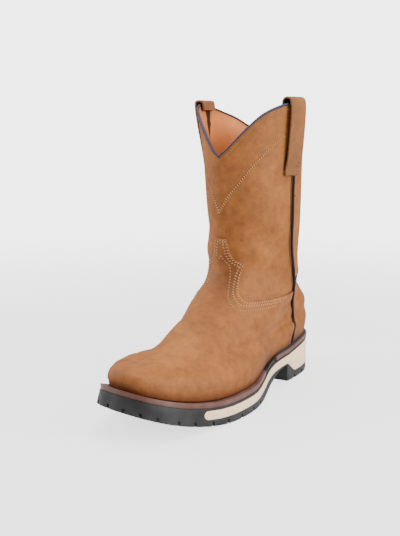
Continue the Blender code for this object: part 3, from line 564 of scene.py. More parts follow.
def fitted_foot(angle, front, back, spread, heel):
    """The feather line between a front and a back, spread sideways from its heel to its toe."""
    along, across = feather_at(angle)
    share = (along - feather_back) / (feather_front - feather_back)
    width = heel + (spread - heel) * share
    return back + (front - back) * share, SHAFT_LEAN + (across - SHAFT_LEAN) * width


def ring_radius(angle, nose, tail):
    power = np.where(np.cos(angle) > 0, nose, tail)
    return (np.abs(np.cos(angle)) ** power + np.abs(np.sin(angle)) ** power) ** (-1 / power)


def shaft_point(angle, height):
    share = height / SHAFT_HEIGHT
    front, back, outer, inner = (np.interp(share, *line) for line in shaft_lines)
    depth = np.where(np.cos(angle) > 0, front, back) * SHAFT_DEPTH / 2
    width = np.where(np.sin(angle) > 0, outer, inner) * SHAFT_WIDTH / 2
    radius = ring_radius(angle, SHAFT_NOSE, SHAFT_TAIL)
    along = SHAFT_PLACE + depth * radius * np.cos(angle)
    across = SHAFT_LEAN + width * radius * np.sin(angle)
    return np.stack(np.broadcast_arrays(along, across, height), -1)


def collar_height(angle):
    turn = np.abs(np.degrees(np.arctan2(np.sin(angle), np.cos(angle))))
    front = SHAFT_HEIGHT - FRONT_DIP * np.interp(turn, *front_edge)
    back = SHAFT_HEIGHT - BACK_DIP * np.interp(turn, *back_edge)
    return np.where(turn <= 90, front, back)


def ring_at(index, angle):
    """One ring of the upper in the given directions."""
    if index < LAST_WALL:
        front, back, spread, heel, rise = wall_rows[max(index, 0)]
        length = feather_front - feather_back
        front, back = feather_back + front * length, feather_back + back * length
        along, across = fitted_foot(angle, front, back, spread, heel)
        return np.stack([along, across, deck(along) + CLEARANCE + rise * WALL_RISE], -1)
    if index >= SHAFT_START:
        height = INSTEP_HEIGHT * (1 + 0.12 * (index - SHAFT_START))
        return shaft_point(angle, np.full_like(angle, height))
    front, front_height, back, back_height, side_height, *widths = body_rows[index - LAST_WALL]
    spread, outer, inner, foot, nose, heel, tail = widths
    front, back = front * OUTSOLE_LENGTH, back * OUTSOLE_LENGTH
    middle, half = (front + back) / 2, (front - back) / 2
    outer_side, inner_side = outer * BALL_WIDTH + SHAFT_LEAN, inner * BALL_WIDTH - SHAFT_LEAN
    side = np.where(np.sin(angle) > 0, outer_side, inner_side)
    radius = ring_radius(angle, nose, tail)
    along = middle + half * radius * np.cos(angle)
    across = SHAFT_LEAN + side * radius * np.sin(angle)
    foot_along, foot_across = fitted_foot(angle, front, back, spread, heel)
    along = along + (foot_along - along) * foot
    across = across + (foot_across - across) * foot
    share = (along - middle) / half
    tilt = (front_height - back_height) / 2
    bow = (front_height + back_height) / 2 - side_height
    height = INSTEP_HEIGHT * (side_height + tilt * share + bow * share**2)
    return np.stack([along, across, height], -1)


# Creases of the worn-in ankle and ball in millimetres: the width and the depth of each
# trough, and its line of (along, across, height). A ridge has a depth below zero.
creases = [
    (8.5, 1.1, (137, 12, 124), (118, 34, 116), (92, 44, 110), (70, 40, 108)),
    (8.0, -0.8, (139, 8, 138), (120, 33, 134), (94, 44, 131), (66, 42, 132)),
    (8.0, 0.7, (138, 14, 152), (118, 34, 150), (96, 44, 150)),
    (8.5, 1.1, (137, -14, 124), (118, -32, 116), (92, -36, 110), (70, -34, 108)),
    (8.0, -0.8, (139, -12, 140), (118, -32, 136), (90, -37, 133)),
    (6.0, -1.2, (24, 20, 108), (22, 0, 109), (24, -22, 108)),
    (9.0, 1.0, (34, 30, 128), (26, 0, 128), (34, -30, 128)),
    (7.5, 0.5, (205, 46, 50), (206, 26, 74), (207, 0, 84), (203, -28, 72)),
    (7.5, -0.5, (192, 44, 56), (190, 26, 82), (190, 0, 92), (188, -26, 80)),
    (16.0, 0.8, (120, 36, 206), (98, 46, 196), (80, 46, 190)),
    (15.0, 0.9, (50, 38, 196), (34, 24, 186), (30, 0, 182)),
    (16.0, 0.9, (120, -34, 190), (98, -44, 184), (74, -42, 180)),
    (13.0, -2.1, (286, -22, 55), (272, -27, 56), (258, -29, 56), (240, -31, 56)),
    (17.0, 4.5, (242, -34, 53), (205, -37, 58), (186, -37, 63), (155, -24, 88)),
]


def lengths_along(line):
    """How far each spot of a polyline lies from its start."""
    return np.concatenate([[0.0], np.cumsum(np.linalg.norm(np.diff(line, axis=0), axis=1))])


def crease_depth(spots):
    """How far the creases press the leather in at each spot."""
    flat = spots.reshape(-1, 3)
    total = np.zeros(len(flat))
    for width, depth, *line in creases:
        line = np.array(line) / 1000
        lengths = lengths_along(line)
        nearest = np.full(len(flat), 1.0)
        where = np.zeros(len(flat))
        for k in range(len(line) - 1):
            step = line[k + 1] - line[k]
            t = np.clip((flat - line[k]) @ step / (step @ step), 0.0, 1.0)
            far = np.linalg.norm(flat - line[k] - t[:, None] * step, axis=1)
            closer = far < nearest
            nearest = np.where(closer, far, nearest)
            place = (lengths[k] + t * np.linalg.norm(step)) / lengths[-1]
            where = np.where(closer, place, where)
        ends = smooth_step(where / 0.3) * smooth_step((1 - where) / 0.3)
        total += depth / 1000 * np.exp(-((nearest * 1000 / width) ** 2)) * ends
    return total.reshape(spots.shape[:-1])


def bare_face(angle, level):
    """Spots of the leather's outer face without its creases."""
    angle, level = np.broadcast_arrays(np.asarray(angle, float), np.asarray(level, float))
    rings = np.stack([ring_at(index, angle) for index in range(-1, SHAFT_START + 2)])
    k = np.clip(np.floor(level).astype(int), 0, SHAFT_START - 1)
    four = [np.take_along_axis(rings, (k + i)[None, ..., None], 0)[0] for i in range(4)]
    low = between_four(*four, np.clip(level - k, 0.0, 1.0)[..., None])
    rise = np.maximum(level - SHAFT_START, 0.0)
    high = shaft_point(angle, INSTEP_HEIGHT + (collar_height(angle) - INSTEP_HEIGHT) * rise)
    return np.where((level >= SHAFT_START)[..., None], high, low)


def upper_face(angle, level, distance=0.0):
    """Spots of the leather's outer face and their outward directions, moved out by a distance."""
    angle, level = np.broadcast_arrays(angle, level)
    spots = bare_face(angle, level)
    sideways = bare_face(angle + 0.01, level) - bare_face(angle - 0.01, level)
    low, high = np.maximum(level - 0.02, 0.0), np.minimum(level + 0.02, COLLAR)
    outward = np.cross(sideways, bare_face(angle, high) - bare_face(angle, low))
    outward /= np.linalg.norm(outward, axis=-1, keepdims=True)
    reach = np.asarray(distance) - crease_depth(spots)
    return spots + outward * reach[..., None], outward


FACE_TRIES = 14
TINY = 1e-3


def face_spot(height, axis, target, angle, level):
    """Direction and level where the face has a height, and an along (0) or across (1) of target."""
    angle, level = (np.array(value, float) for value in np.broadcast_arrays(angle, level))
    for _ in range(FACE_TRIES):
        here = bare_face(angle, level)
        turned = (bare_face(angle + TINY, level) - here) / TINY
        raised = (bare_face(angle, level + TINY) - here) / TINY
        miss_a, miss_b = target - here[..., axis], height - here[..., 2]
        det = turned[..., axis] * raised[..., 2] - raised[..., axis] * turned[..., 2]
        det = np.where(np.abs(det) < 1e-9, 1e-9, det)
        angle += np.clip((miss_a * raised[..., 2] - raised[..., axis] * miss_b) / det, -0.15, 0.15)
        level += np.clip((turned[..., axis] * miss_b - turned[..., 2] * miss_a) / det, -0.4, 0.4)
        level = np.clip(level, 0.0, COLLAR)
    return angle, level


def nubuck_finish(name, light, middle, dark):
    """Oiled nubuck: clouds of tone, pulled-up paler patches, fine nap, and painted shade from the piece's own
    layer.
    """
    material, tree, shader, place = new_finish(name)
    shader.inputs["Specular IOR Level"].default_value = 0.28
    noises = []
    for scale, detail, roughness in ((24, 6, 0.6), (130, 8, 0.7), (700, 5, 0.7), (2600, 2, 0.5)):
        inputs = {"Scale": scale, "Detail": detail, "Roughness": roughness}
        noises.append(texture(tree, place, "ShaderNodeTexNoise", inputs))
    clouds, patches, nap, grain = noises
    tone = tone_ramp(tree, (0.33, dark), (0.67, light), (0.5, middle))
    blend = add_node(tree, "ShaderNodeMix", {"Factor": 0.5})
    fleck = add_node(tree, "ShaderNodeMix", {"Factor": 0.34}, data_type="RGBA", blend_type="OVERLAY")
    shine = add_node(tree, "ShaderNodeMapRange", {"To Min": 0.52, "To Max": 0.78})
    fine = add_node(tree, "ShaderNodeMix", {"Factor": 0.4})
    join(
        tree,
        (clouds, "Fac", blend, "A"), (patches, "Fac", blend, "B"), (blend, "Result", tone, "Fac"),
        (tone, "Color", fleck, "A"), (nap, "Color", fleck, "B"),
        (patches, "Fac", shine, "Value"), (shine, "Result", shader, "Roughness"),
        (nap, "Fac", fine, "A"), (grain, "Fac", fine, "B"),
    )
    # Painted shade, and on the straps an even darker tone, from the piece's own layer
    shade_and_tone_darkening(tree, shader, fleck, "Result", (0.34, 0.25, 0.22))
    add_bump(tree, shader, fine, "Result", 0.35, 0.0003)
    return material


def darken(piece, amounts):
    """Keeps how dark each spot is made: painted shade, and on the straps an even darker tone."""
    layer = piece.data.attributes.new("painted_shade_and_tone", "FLOAT", "POINT")
    layer.data.foreach_set("value", np.ascontiguousarray(amounts, np.float32).ravel())


def foot_shadow(level):
    """Painted shade above the welt: a strong band just above it and a fainter, wider one higher up."""
    return 0.75 * np.exp(-(((level - 0.9) / 0.75) ** 2)) + 0.25 * np.exp(-(((level - 1.8) / 1.5) ** 2))


def walled(name, outer, inner, closed):
    """Nubuck with an outer and an inner face, which meet along its edges."""
    rows, columns = outer.shape[:2]
    count = rows * columns
    faces = grid_faces(rows, columns, closed)
    faces += [tuple(count + v for v in face[::-1]) for face in faces]
    edges = []
    if not closed:
        for i in range(0, count - columns, columns):
            edges += [(i, i + columns), (i + columns - 1, i + 2 * columns - 1)]
    for i in range(columns if closed else columns - 1):
        j = (i + 1) % columns
        edges += [(i, j), (count - columns + i, count - columns + j)]
    faces += [(a, b, count + b, count + a) for a, b in edges]
    piece = new_piece(name, np.stack([outer, inner]), faces, tan_nubuck)
    face_outwards(piece)
    return piece


tan_nubuck = nubuck_finish(
    "tan_nubuck_finish", (0.385, 0.141, 0.029), (0.280, 0.093, 0.019), (0.165, 0.052, 0.011)
)
turns = np.arange(RING_POINTS) / RING_POINTS * 2 * math.pi
levels = np.arange(SHAFT_START * LEVEL_STEPS) / LEVEL_STEPS
shaft_levels = SHAFT_START + np.arange(SHAFT_LEVEL_STEPS + 1) / SHAFT_LEVEL_STEPS
turn_grid, level_grid = np.meshgrid(turns, np.concatenate([levels, shaft_levels]))
outer_face, outward = upper_face(turn_grid, level_grid)
skived = smooth_step((level_grid - SHAFT_START - COLLAR_SKIVING[0]) / COLLAR_SKIVING[1])
inner_face = outer_face - outward * (UPPER_WALL + (COLLAR_WALL - UPPER_WALL) * skived)[..., None]
inner_face[0, :, 2] = outer_face[0, :, 2]
upper = walled("upper_leather", outer_face, inner_face, True)
upper.data.materials.append(lining_leather)
lined = (len(level_grid) - 1) * RING_POINTS
for face in upper.data.polygons[lined : 2 * lined]:
    face.material_index = 1

# The lining's painted shadow in the gap of the side seam on each side, above this height and widening towards
# the collar
LINING_SEAM_LOW = 0.236
LINING_SEAM_RISE = 0.028
LINING_SEAM_HALF = 0.0042

seam_gap = smooth_step((inner_face[..., 2] - LINING_SEAM_LOW) / LINING_SEAM_RISE) * LINING_SEAM_HALF
seam_place = 0.0880 + 0.25 * (0.270 - inner_face[..., 2])
seam_painted_shadow = np.where(np.abs(inner_face[..., 0] - seam_place) < seam_gap, 0.97, 0.0)
# Painted shade above the welt on the outer face, painted shadow in the side seam's gap on the lining
darken(upper, np.stack([foot_shadow(level_grid), seam_painted_shadow]))
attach(upper, "root")
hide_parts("upper")

# Vamp: nubuck laid over the front of the upper and sewn on, with a shaped tongue that
# climbs the instep. Cut from the upper's own face along the tongue's edge and side seams.

OVERLAY = 0.0012
OVERLAY_GAP = 0.0006
PIPING_RADIUS = 0.0013
SEAM_TOP = 0.094
TONGUE_TOP = 0.1505
TONGUE_FOOT = 0.093
BEFORE_TOE = 0.32
BEHIND_HEEL = -0.02
SIDE_VIEW = Matrix(((0, 0, 1, 0), (-1, 0, 0, 0), (0, 1, 0, 0), (0, 0, 0, 1)))
FRONT_VIEW = Matrix(((1, 0, 0, 0), (0, 0, -1, 0), (0, 1, 0, 0), (0, 0, 0, 1)))

tongue_edge = [
    (0.000, 1.00), (0.054, 1.00), (0.064, 0.97), (0.073, 0.91), (0.082, 0.81), (0.094, 0.725),
    (0.122, 0.650), (0.172, 0.595), (0.214, 0.560), (0.200, 0.460), (0.194, 0.370), (0.195, 0.280),
    (0.204, 0.200), (0.228, 0.115), (0.272, 0.040), (0.312, -0.015), (0.352, -0.025),
    (0.440, -0.025), (0.560, -0.018),
]
side_seam = smooth_line([
    (height * INSTEP_HEIGHT, share * SHAFT_PLACE) for share, height in (
        (0.775, 0.200), (0.746, 0.290), (0.696, 0.380), (0.712, 0.460), (0.800, 0.540),
        (0.890, 0.620), (0.976, 0.800), (1.030, 0.960), (1.045, 1.120), (1.025, 1.900),
    )
], 1)


def seam_along(height):
    return np.interp(height, *side_seam)


def rounded_line(points, rounds=1):
    """A polyline with its corners cut round."""
    points = np.array(points, float)
    for _ in range(rounds):
        first = points[:-1] * 0.75 + points[1:] * 0.25
        second = points[:-1] * 0.25 + points[1:] * 0.75
        middle = np.stack([first, second], 1).reshape(-1, 2)
        points = np.concatenate([points[:1], middle, points[-1:]])
    return points


tongue_half = rounded_line([
    (across * SHAFT_WIDTH, SEAM_TOP + share * (TONGUE_TOP - SEAM_TOP)) for across, share in tongue_edge
])


def cut_to(piece, loop, low, high, view):
    """Keeps only what lies inside a flat outline, seen in a view between two depths."""
    shape = bmesh.new()
    ends = []
    for depth in (low, high):
        ends.append([shape.verts.new(view @ Vector((x, y, depth))) for x, y in loop])
    shape.faces.new(ends[0])
    shape.faces.new(ends[1][::-1])
    for i in range(len(loop)):
        j = (i + 1) % len(loop)
        shape.faces.new((ends[0][i], ends[0][j], ends[1][j], ends[1][i]))
    bmesh.ops.recalc_face_normals(shape, faces=shape.faces)
    mesh = bpy.data.meshes.new("cutting_shape")
    shape.to_mesh(mesh)
    shape.free()
    mesh.transform(Matrix.Translation(BOOT_PLACE.tolist()))
    cutter = put_in_scene("cutting_shape", mesh)
    cut = piece.modifiers.new("cut", "BOOLEAN")
    cut.object = cutter
    cut.operation = "INTERSECT"
    cut.solver = "EXACT"
    settle(piece)
    bpy.data.objects.remove(cutter, do_unlink=True)


def tongue_shade(spots):
    """Painted shade in the middle of the instep."""
    inner = ((spots[..., 1] - 0.010) / 0.016) ** 2 + ((spots[..., 2] - 0.116) / 0.030) ** 2
    return np.where(spots[..., 0] > 0.10, 0.72 * np.exp(-inner), 0.0)


def leather_overlay(name, first, last):
    """Leather laid over the upper between two directions, from the welt up."""
    turns = np.arange(first, last + 1) / RING_POINTS * 2 * math.pi
    levels = np.arange(LEVEL_STEPS, SHAFT_START * LEVEL_STEPS + 1) / LEVEL_STEPS
    turn_grid, level_grid = np.meshgrid(turns, levels)
    under, _ = upper_face(turn_grid, level_grid, OVERLAY_GAP)
    over, _ = upper_face(turn_grid, level_grid, OVERLAY_GAP + OVERLAY)
    piece = walled(name, over, under, False)
    # Painted shade above the welt and in the middle of the instep
    darken(piece, np.tile((foot_shadow(level_grid) + tongue_shade(over)).ravel(), 2))
    return piece


vamp = leather_overlay("vamp_leather", -92, 92)
room = PIPING_RADIUS + 2 * CLEARANCE
above_tongue = TONGUE_TOP + 0.01
ahead = [(seam_along(z) + room, z) for z in np.linspace(0.0, above_tongue, 40)]
ahead += [(BEFORE_TOE, above_tongue), (BEFORE_TOE, 0.0)]
cut_to(vamp, ahead, -BALL_WIDTH, BALL_WIDTH, SIDE_VIEW)
tongue_loop = [(-BALL_WIDTH, TONGUE_FOOT)]
tongue_loop += [(SHAFT_LEAN - across, height) for across, height in tongue_half[:0:-1]]
tongue_loop += [(SHAFT_LEAN + across, height) for across, height in tongue_half]
tongue_loop += [(BALL_WIDTH, TONGUE_FOOT), (BALL_WIDTH, 0.0), (-BALL_WIDTH, 0.0)]
cut_to(vamp, tongue_loop, BEHIND_HEEL, BEFORE_TOE, FRONT_VIEW)
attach(vamp, "root")
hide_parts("vamp")

# Heel counter: nubuck laid over the stiffened heel and sewn on between the side seams. Its
# top line climbs from the seams to the back.

COUNTER_TOP = 0.1135
COUNTER_RISE_LENGTH = 0.036


def counter_line(along):
    """Height of the counter's top line."""
    rise = smooth_step((seam_along(SEAM_TOP) - room - along) / COUNTER_RISE_LENGTH)
    return SEAM_TOP + rise * (COUNTER_TOP - SEAM_TOP)


counter = leather_overlay("counter_leather", 36, 188)
behind = [(seam_along(z) - room, z) for z in np.linspace(0.0, SEAM_TOP, 24)]
behind += [(s, counter_line(s)) for s in np.linspace(behind[-1][0], 0.0, 24)[1:]]
behind += [(BEHIND_HEEL, COUNTER_TOP), (BEHIND_HEEL, 0.0)]
cut_to(counter, behind, -BALL_WIDTH, BALL_WIDTH, SIDE_VIEW)
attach(counter, "root")
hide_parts("heel_counter")

# Side piping: a dark cord in each side seam, sewn between the front and back leathers,
# from the welt to the pull strap.

STRAP_LOW = 0.209
PIPING_LOW = 0.0385
PIPING_POINTS = 120
PIPING_SIDES = 12


def woven_finish(name, colour):
    """Dark woven tape or cord with fine diagonal ribs."""
    material, tree, shader, place = new_finish(name)
    shader.inputs["Roughness"].default_value = 0.6
    shader.inputs["Specular IOR Level"].default_value = 0.25
    weave = {"Scale": 420, "Distortion": 1.5}
    ribs = texture(tree, place, "ShaderNodeTexWave", weave, bands_direction="DIAGONAL")
    tone = tone_ramp(tree, (0.0, [c * 0.6 for c in colour]), (1.0, [c * 1.5 for c in colour]))
    join(tree, (ribs, "Fac", tone, "Fac"), (tone, "Color", shader, "Base Color"))
    add_bump(tree, shader, ribs, "Fac", 0.4, 0.0002)
    return material


dark_cord = woven_finish("dark_cord_finish", (0.006, 0.005, 0.012))


def seam_spots(side, low, high, count, shift=0.0):
    """Directions and levels of a line beside the side seam."""
    heights = np.linspace(low, high, count)
    start_level = np.interp(heights, [0.035, 0.06, 0.09, 0.125, 0.16, 0.27], [1, 3.4, 7.5, 10.5, 12, 12.95])
    start = side * np.radians(np.interp(heights, [0.035, 0.09, 0.16], [120, 105, 88]))
    return face_spot(heights, 0, seam_along(heights) + shift, start, start_level)


def cord(name, line):
    """Round cord through a line of spots, with closed ends."""
    tangent = np.gradient(line, axis=0)
    tangent /= np.linalg.norm(tangent, axis=1, keepdims=True)
    first = np.cross(tangent, (0.0, 1.0, 0.0))
    first /= np.linalg.norm(first, axis=1, keepdims=True)
    second = np.cross(tangent, first)
    turn = (np.arange(PIPING_SIDES) / PIPING_SIDES * 2 * math.pi)[None, :, None]
    ring = np.cos(turn) * first[:, None] + np.sin(turn) * second[:, None]
    spots = line[:, None] + PIPING_RADIUS * ring
    piece = new_piece(name, spots, rod_faces(len(line), PIPING_SIDES), dark_cord)
    face_outwards(piece)
    return piece


for side, node in ((1, "side_piping_outer"), (-1, "side_piping_inner")):
    angle, level = seam_spots(side, PIPING_LOW, STRAP_LOW - 0.0006, PIPING_POINTS)
    line, _ = upper_face(angle, level, PIPING_RADIUS + OVERLAY_GAP + CLEARANCE)
    for _ in range(60):
        line[1:-1] = (line[:-2] + 2 * line[1:-1] + line[2:]) / 4
    piping = cord(f"{node}_cord", line)
    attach(piping, "root")
    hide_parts(node)

# Collar binding: dark woven tape all round the collar. It is folded over the leather's
# skived edge and sewn through.

BINDING_THICKNESS = 0.0005
BINDING_DEPTH = 0.0017
BINDING_GAP = 0.0001
BINDING_POINTS = 240

navy_weave = woven_finish("navy_weave_finish", (0.040, 0.032, 0.055))
turns = np.arange(BINDING_POINTS) / BINDING_POINTS * 2 * math.pi
edge, outward = upper_face(turns, COLLAR)
below, _ = upper_face(turns, COLLAR - 0.03)
down = below - edge
down /= np.linalg.norm(down, axis=1, keepdims=True)
gap, skin = BINDING_GAP, BINDING_THICKNESS
inside = -COLLAR_WALL - gap
# How far out each line of the tape lies, and how far down as a share of its depth; what
# lies above the edge has its own height below zero
profile = [
    (gap, 1.0), (gap + skin, 1.0), (gap + skin, 0.4), (gap + skin, 0.0), (gap + 0.2 * skin, -0.75 * skin),
    (0.5 * (gap + inside), -gap - skin), (inside - 0.2 * skin, -0.75 * skin), (inside - skin, 0.0),
    (inside - skin, 0.4), (inside - skin, 1.0), (inside, 1.0), (inside, 0.0), (0.5 * inside, -gap), (gap, 0.0),
]
lines = []
for lift, depth in profile:
    drop = depth * BINDING_DEPTH if depth > 0 else depth
    lines.append(edge + outward * lift + down * drop)
round_faces = grid_faces(BINDING_POINTS + 1, len(profile), True)
faces = [tuple(v % (BINDING_POINTS * len(profile)) for v in face) for face in round_faces]
binding = new_piece("collar_binding_tape", np.stack(lines, 1), faces, navy_weave)
face_outwards(binding)
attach(binding, "root")
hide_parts("collar_binding")

# Pull straps: strips of nubuck backed with black webbing, folded over the collar at the
# side seams and sewn to the shaft outside and in. Behind each lies a dark sheet of painted
# shadow, for the gap between the strap's edge and the shaft.

STRAP_WIDTH = 0.025
STRAP_PLACE = 0.0925
STRAP_THICKNESS = 0.0019
STRAP_BULGE = 0.0014
STRAP_POINTS = 17
OUTER_LOOP = (0.0042, 0.240)
INNER_LOOP = (0.0020, 0.2705)
# Extent and lift of the dark sheet of painted shadow behind each strap
SEAT_BACK = -0.0105
SEAT_FRONT = 0.0088
SEAT_FRONT_LOW = 0.0132
SEAT_THICKNESS = 0.0005
SEAT_LIFT = 0.0006
SEAT_ROWS, SEAT_COLUMNS = 30, 12


def strap_line(loop_height, inside_low):
    """Middle line of a pull strap: how far it stands off the shaft's face, and its height."""
    half = STRAP_THICKNESS / 2
    low = half + 2 * CLEARANCE
    past_edge = half + BINDING_THICKNESS + 3 * CLEARANCE
    inside = -UPPER_WALL - BINDING_THICKNESS - half - 4 * CLEARANCE
    outer_top = past_edge + STRAP_BULGE
    middle, loop = (outer_top + inside) / 2, (outer_top - inside) / 2
    start = SHAFT_HEIGHT + 0.0005
    path = [(low, STRAP_LOW), (low, STRAP_LOW + 0.006), (low + 0.0022, STRAP_LOW + 0.016)]
    path += [(past_edge + 0.0022, start - 0.030), (outer_top + 0.0008, start - 0.006), (outer_top, start)]
    for turn in np.radians(range(15, 180, 15)):
        path.append((middle + loop * math.cos(turn), start + loop_height * math.sin(turn)))
    path += [(inside, start), (inside, start - 0.004), (inside, inside_low)]
    return np.array(path)


def on_shaft(side, along, height, lift):
    """Spots on one side of the shaft that stand off its face by a lift."""
    along, height, lift = np.broadcast_arrays(along, height, lift)
    turn = side * np.arccos((along - SHAFT_PLACE) / (SHAFT_DEPTH / 2))
    return np.stack([along, shaft_point(turn, height)[..., 1] + side * lift, height], -1)


def thicken(piece, thickness):
    """Gives a sheet a thickness to both sides of its middle."""
    wall = piece.modifiers.new("wall", "SOLIDIFY")
    wall.thickness = thickness
    wall.offset = 0
    return wall


strap_nubuck = nubuck_finish(
    "strap_nubuck_finish", (0.295, 0.118, 0.034), (0.232, 0.086, 0.024), (0.155, 0.055, 0.016)
)
# Black webbing behind the straps, also used for the dark sheets of painted shadow
black_webbing_and_shadow = woven_finish("black_webbing_and_shadow_finish", (0.006, 0.006, 0.007))
shifts = np.linspace(-STRAP_WIDTH / 2, STRAP_WIDTH / 2, STRAP_POINTS)
for side, node, loop in ((-1, "pull_strap_inner", INNER_LOOP), (1, "pull_strap_outer", OUTER_LOOP)):
    path = rounded_line(strap_line(*loop), 2)
    spots = on_shaft(side, STRAP_PLACE + shifts, path[:, 1:], path[:, :1])
    strap = new_piece(f"{node}_leather", spots, grid_faces(len(path), STRAP_POINTS, False), strap_nubuck)
    face_outwards(strap)
    strap.data.materials.append(black_webbing_and_shadow)
    darken(strap, np.full(spots.shape[:2], 0.10))
    thicken(strap, STRAP_THICKNESS).material_offset = 1
    round_edges(strap, 0.0005, 50)
    settle(strap)
    face_outwards(strap)
    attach(strap, "root")
    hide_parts(node)
    # A dark sheet on the shaft behind the strap's edge: painted shadow in the gap between strap and shaft
    height = np.linspace(STRAP_LOW + 0.006, SHAFT_HEIGHT - 0.004, SEAT_ROWS)[:, None]
    front = SEAT_FRONT_LOW + (SEAT_FRONT - SEAT_FRONT_LOW) * smooth_step((height - STRAP_LOW) / 0.040)
    shift = SEAT_BACK + np.linspace(0, 1, SEAT_COLUMNS)[None] * (front - SEAT_BACK)
    spots = on_shaft(side, STRAP_PLACE + shift, height, SEAT_LIFT)
    seat_faces = grid_faces(SEAT_ROWS, SEAT_COLUMNS, False)
    seat = new_piece(f"{node}_gap_shadow_sheet", spots, seat_faces, black_webbing_and_shadow)
    face_outwards(seat)
    thicken(seat, SEAT_THICKNESS)
    settle(seat)
    face_outwards(seat)
    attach(seat, "root")

# Stitches: waxed thread rows that hold the leathers. Each row is a line on the leather
# along which one tree of nodes sets its stitches; threads differ in colour and thickness.

ROW_STEP = 0.0008
HOLE = 0.0009
TOP_OF_OVERLAY = OVERLAY_GAP + OVERLAY
ON_LEATHER = 0.0002


def thread_finish(name, colour):
    """Twisted thread."""
    material, tree, shader, place = new_finish(name)
    shader.inputs["Roughness"].default_value = 0.55
    ply = texture(tree, place, "ShaderNodeTexNoise", {"Scale": 700})
    tone = tone_ramp(tree, (0.3, [c * 0.7 for c in colour]), (0.7, colour))
    join(tree, (ply, "Fac", tone, "Fac"), (tone, "Color", shader, "Base Color"))
    return material


def stitch_tree():
    """Node tree that sets one stitch after another along a line."""
    tree = bpy.data.node_groups.new("stitch_row", "GeometryNodeTree")
    face = tree.interface
    face.new_socket("Line", in_out="INPUT", socket_type="NodeSocketGeometry")
    sizes = {
        "Spacing": 0.003, "Stitch Length": 0.0022, "Thread Width": 0.0008,
        "Thread Height": 0.0006, "Slant": 0.0,
    }
    sockets = {}
    for name, value in sizes.items():
        socket = face.new_socket(name, in_out="INPUT", socket_type="NodeSocketFloat")
        socket.default_value = value
        sockets[name] = socket.identifier
    thread = face.new_socket("Thread", in_out="INPUT", socket_type="NodeSocketMaterial")
    sockets["Thread"] = thread.identifier
    face.new_socket("Stitches", in_out="OUTPUT", socket_type="NodeSocketGeometry")
    start, end = tree.nodes.new("NodeGroupInput"), tree.nodes.new("NodeGroupOutput")
    curve = add_node(tree, "GeometryNodeMeshToCurve")
    points = add_node(tree, "GeometryNodeCurveToPoints", mode="LENGTH")
    away = add_node(tree, "GeometryNodeInputNamedAttribute", {"Name": "away"}, data_type="FLOAT_VECTOR")
    tilt = add_node(tree, "FunctionNodeAlignRotationToVector", axis="Z")
    lie = add_node(tree, "FunctionNodeAlignRotationToVector", axis="X", pivot_axis="Z")
    slant = add_node(tree, "FunctionNodeRotateRotation", rotation_space="LOCAL")
    turn = add_node(tree, "FunctionNodeAxisAngleToRotation", {"Axis": (0, 0, 1)})
    bead = add_node(tree, "GeometryNodeMeshUVSphere", {"Segments": 7, "Rings": 5, "Radius": 0.5})
    size = add_node(tree, "ShaderNodeCombineXYZ")
    stretch = add_node(tree, "GeometryNodeTransform")
    place = add_node(tree, "GeometryNodeInstanceOnPoints")
    real = add_node(tree, "GeometryNodeRealizeInstances")
    smooth = add_node(tree, "GeometryNodeSetShadeSmooth")
    paint = add_node(tree, "GeometryNodeSetMaterial")
    join(
        tree,
        (start, "Line", curve, "Mesh"), (curve, "Curve", points, "Curve"),
        (start, "Spacing", points, "Length"), (away, "Attribute", tilt, "Vector"),
        (tilt, "Rotation", lie, "Rotation"), (points, "Tangent", lie, "Vector"),
        (lie, "Rotation", slant, "Rotation"), (start, "Slant", turn, "Angle"),
        (turn, "Rotation", slant, "Rotate By"), (start, "Stitch Length", size, "X"),
        (start, "Thread Width", size, "Y"), (start, "Thread Height", size, "Z"),
        (bead, "Mesh", stretch, "Geometry"), (size, "Vector", stretch, "Scale"),
        (points, "Points", place, "Points"), (stretch, "Geometry", place, "Instance"),
        (slant, "Rotation", place, "Rotation"), (place, "Instances", real, "Geometry"),
        (real, "Geometry", smooth, "Geometry"), (smooth, "Geometry", paint, "Geometry"),
        (start, "Thread", paint, "Material"), (paint, "Geometry", end, "Stitches"),
    )
    return tree, sockets


stitch_nodes, stitch_sockets = stitch_tree()


def set_along(name, rows, spacing, length, width, height, thread, slant=0.0):
    """Sets beads of thread along rows, each a pair of spots and outward directions."""
    mesh = bpy.data.meshes.new(name)
    spots = np.concatenate([row[0] for row in rows])
    away = np.concatenate([row[1] for row in rows])
    edges, start = [], 0
    for row in rows:
        edges += [(start + i, start + i + 1) for i in range(len(row[0]) - 1)]
        start += len(row[0])
    mesh.from_pydata(boot_place(*spots.T).tolist(), edges, [])
    layer = mesh.attributes.new("away", "FLOAT_VECTOR", "POINT")
    turned = np.stack([away[:, 1], -away[:, 0], away[:, 2]], 1)
    layer.data.foreach_set("vector", np.ascontiguousarray(turned, np.float32).ravel())
    piece = put_in_scene(name, mesh)
    row_modifier = piece.modifiers.new("stitches", "NODES")
    row_modifier.node_group = stitch_nodes
    values = (spacing, length, width, height, slant, thread)
    for identifier, value in zip(stitch_sockets.values(), values):
        row_modifier[identifier] = value
    settle(piece)
    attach(piece, "root")


def sew(name, rows, thread, spacing, length, width, slant=0.0):
    """A row of stitches with a dark dot of painted shade for a needle hole between each two of them."""
    set_along(name, rows, spacing, length, width, 0.8 * width, thread, slant)
    later = max(int(round(spacing / 2 / ROW_STEP)), 1)
    # Needle holes as flat dark dots: painted shade where the thread enters the leather
    between = [((spots - away * 0.0001)[later:], away[later:]) for spots, away in rows]
    holes = name.replace("stitches", "needle_hole_shade")
    set_along(holes, between, spacing, HOLE, HOLE, HOLE / 3, hole_shade)


def even_line(points):
    """A polyline's points at an even step."""
    points = np.array(points, float)
    lengths = lengths_along(points)
    places = np.arange(0.0, lengths[-1], ROW_STEP)
    return np.stack([np.interp(places, lengths, points[:, axis]) for axis in (0, 1)], 1)


def beside(points, distance):
    """A flat polyline moved sideways by a distance."""
    tangent = np.gradient(points, axis=0)
    tangent /= np.linalg.norm(tangent, axis=1, keepdims=True)
    return points + np.stack([tangent[:, 1], -tangent[:, 0]], 1) * distance


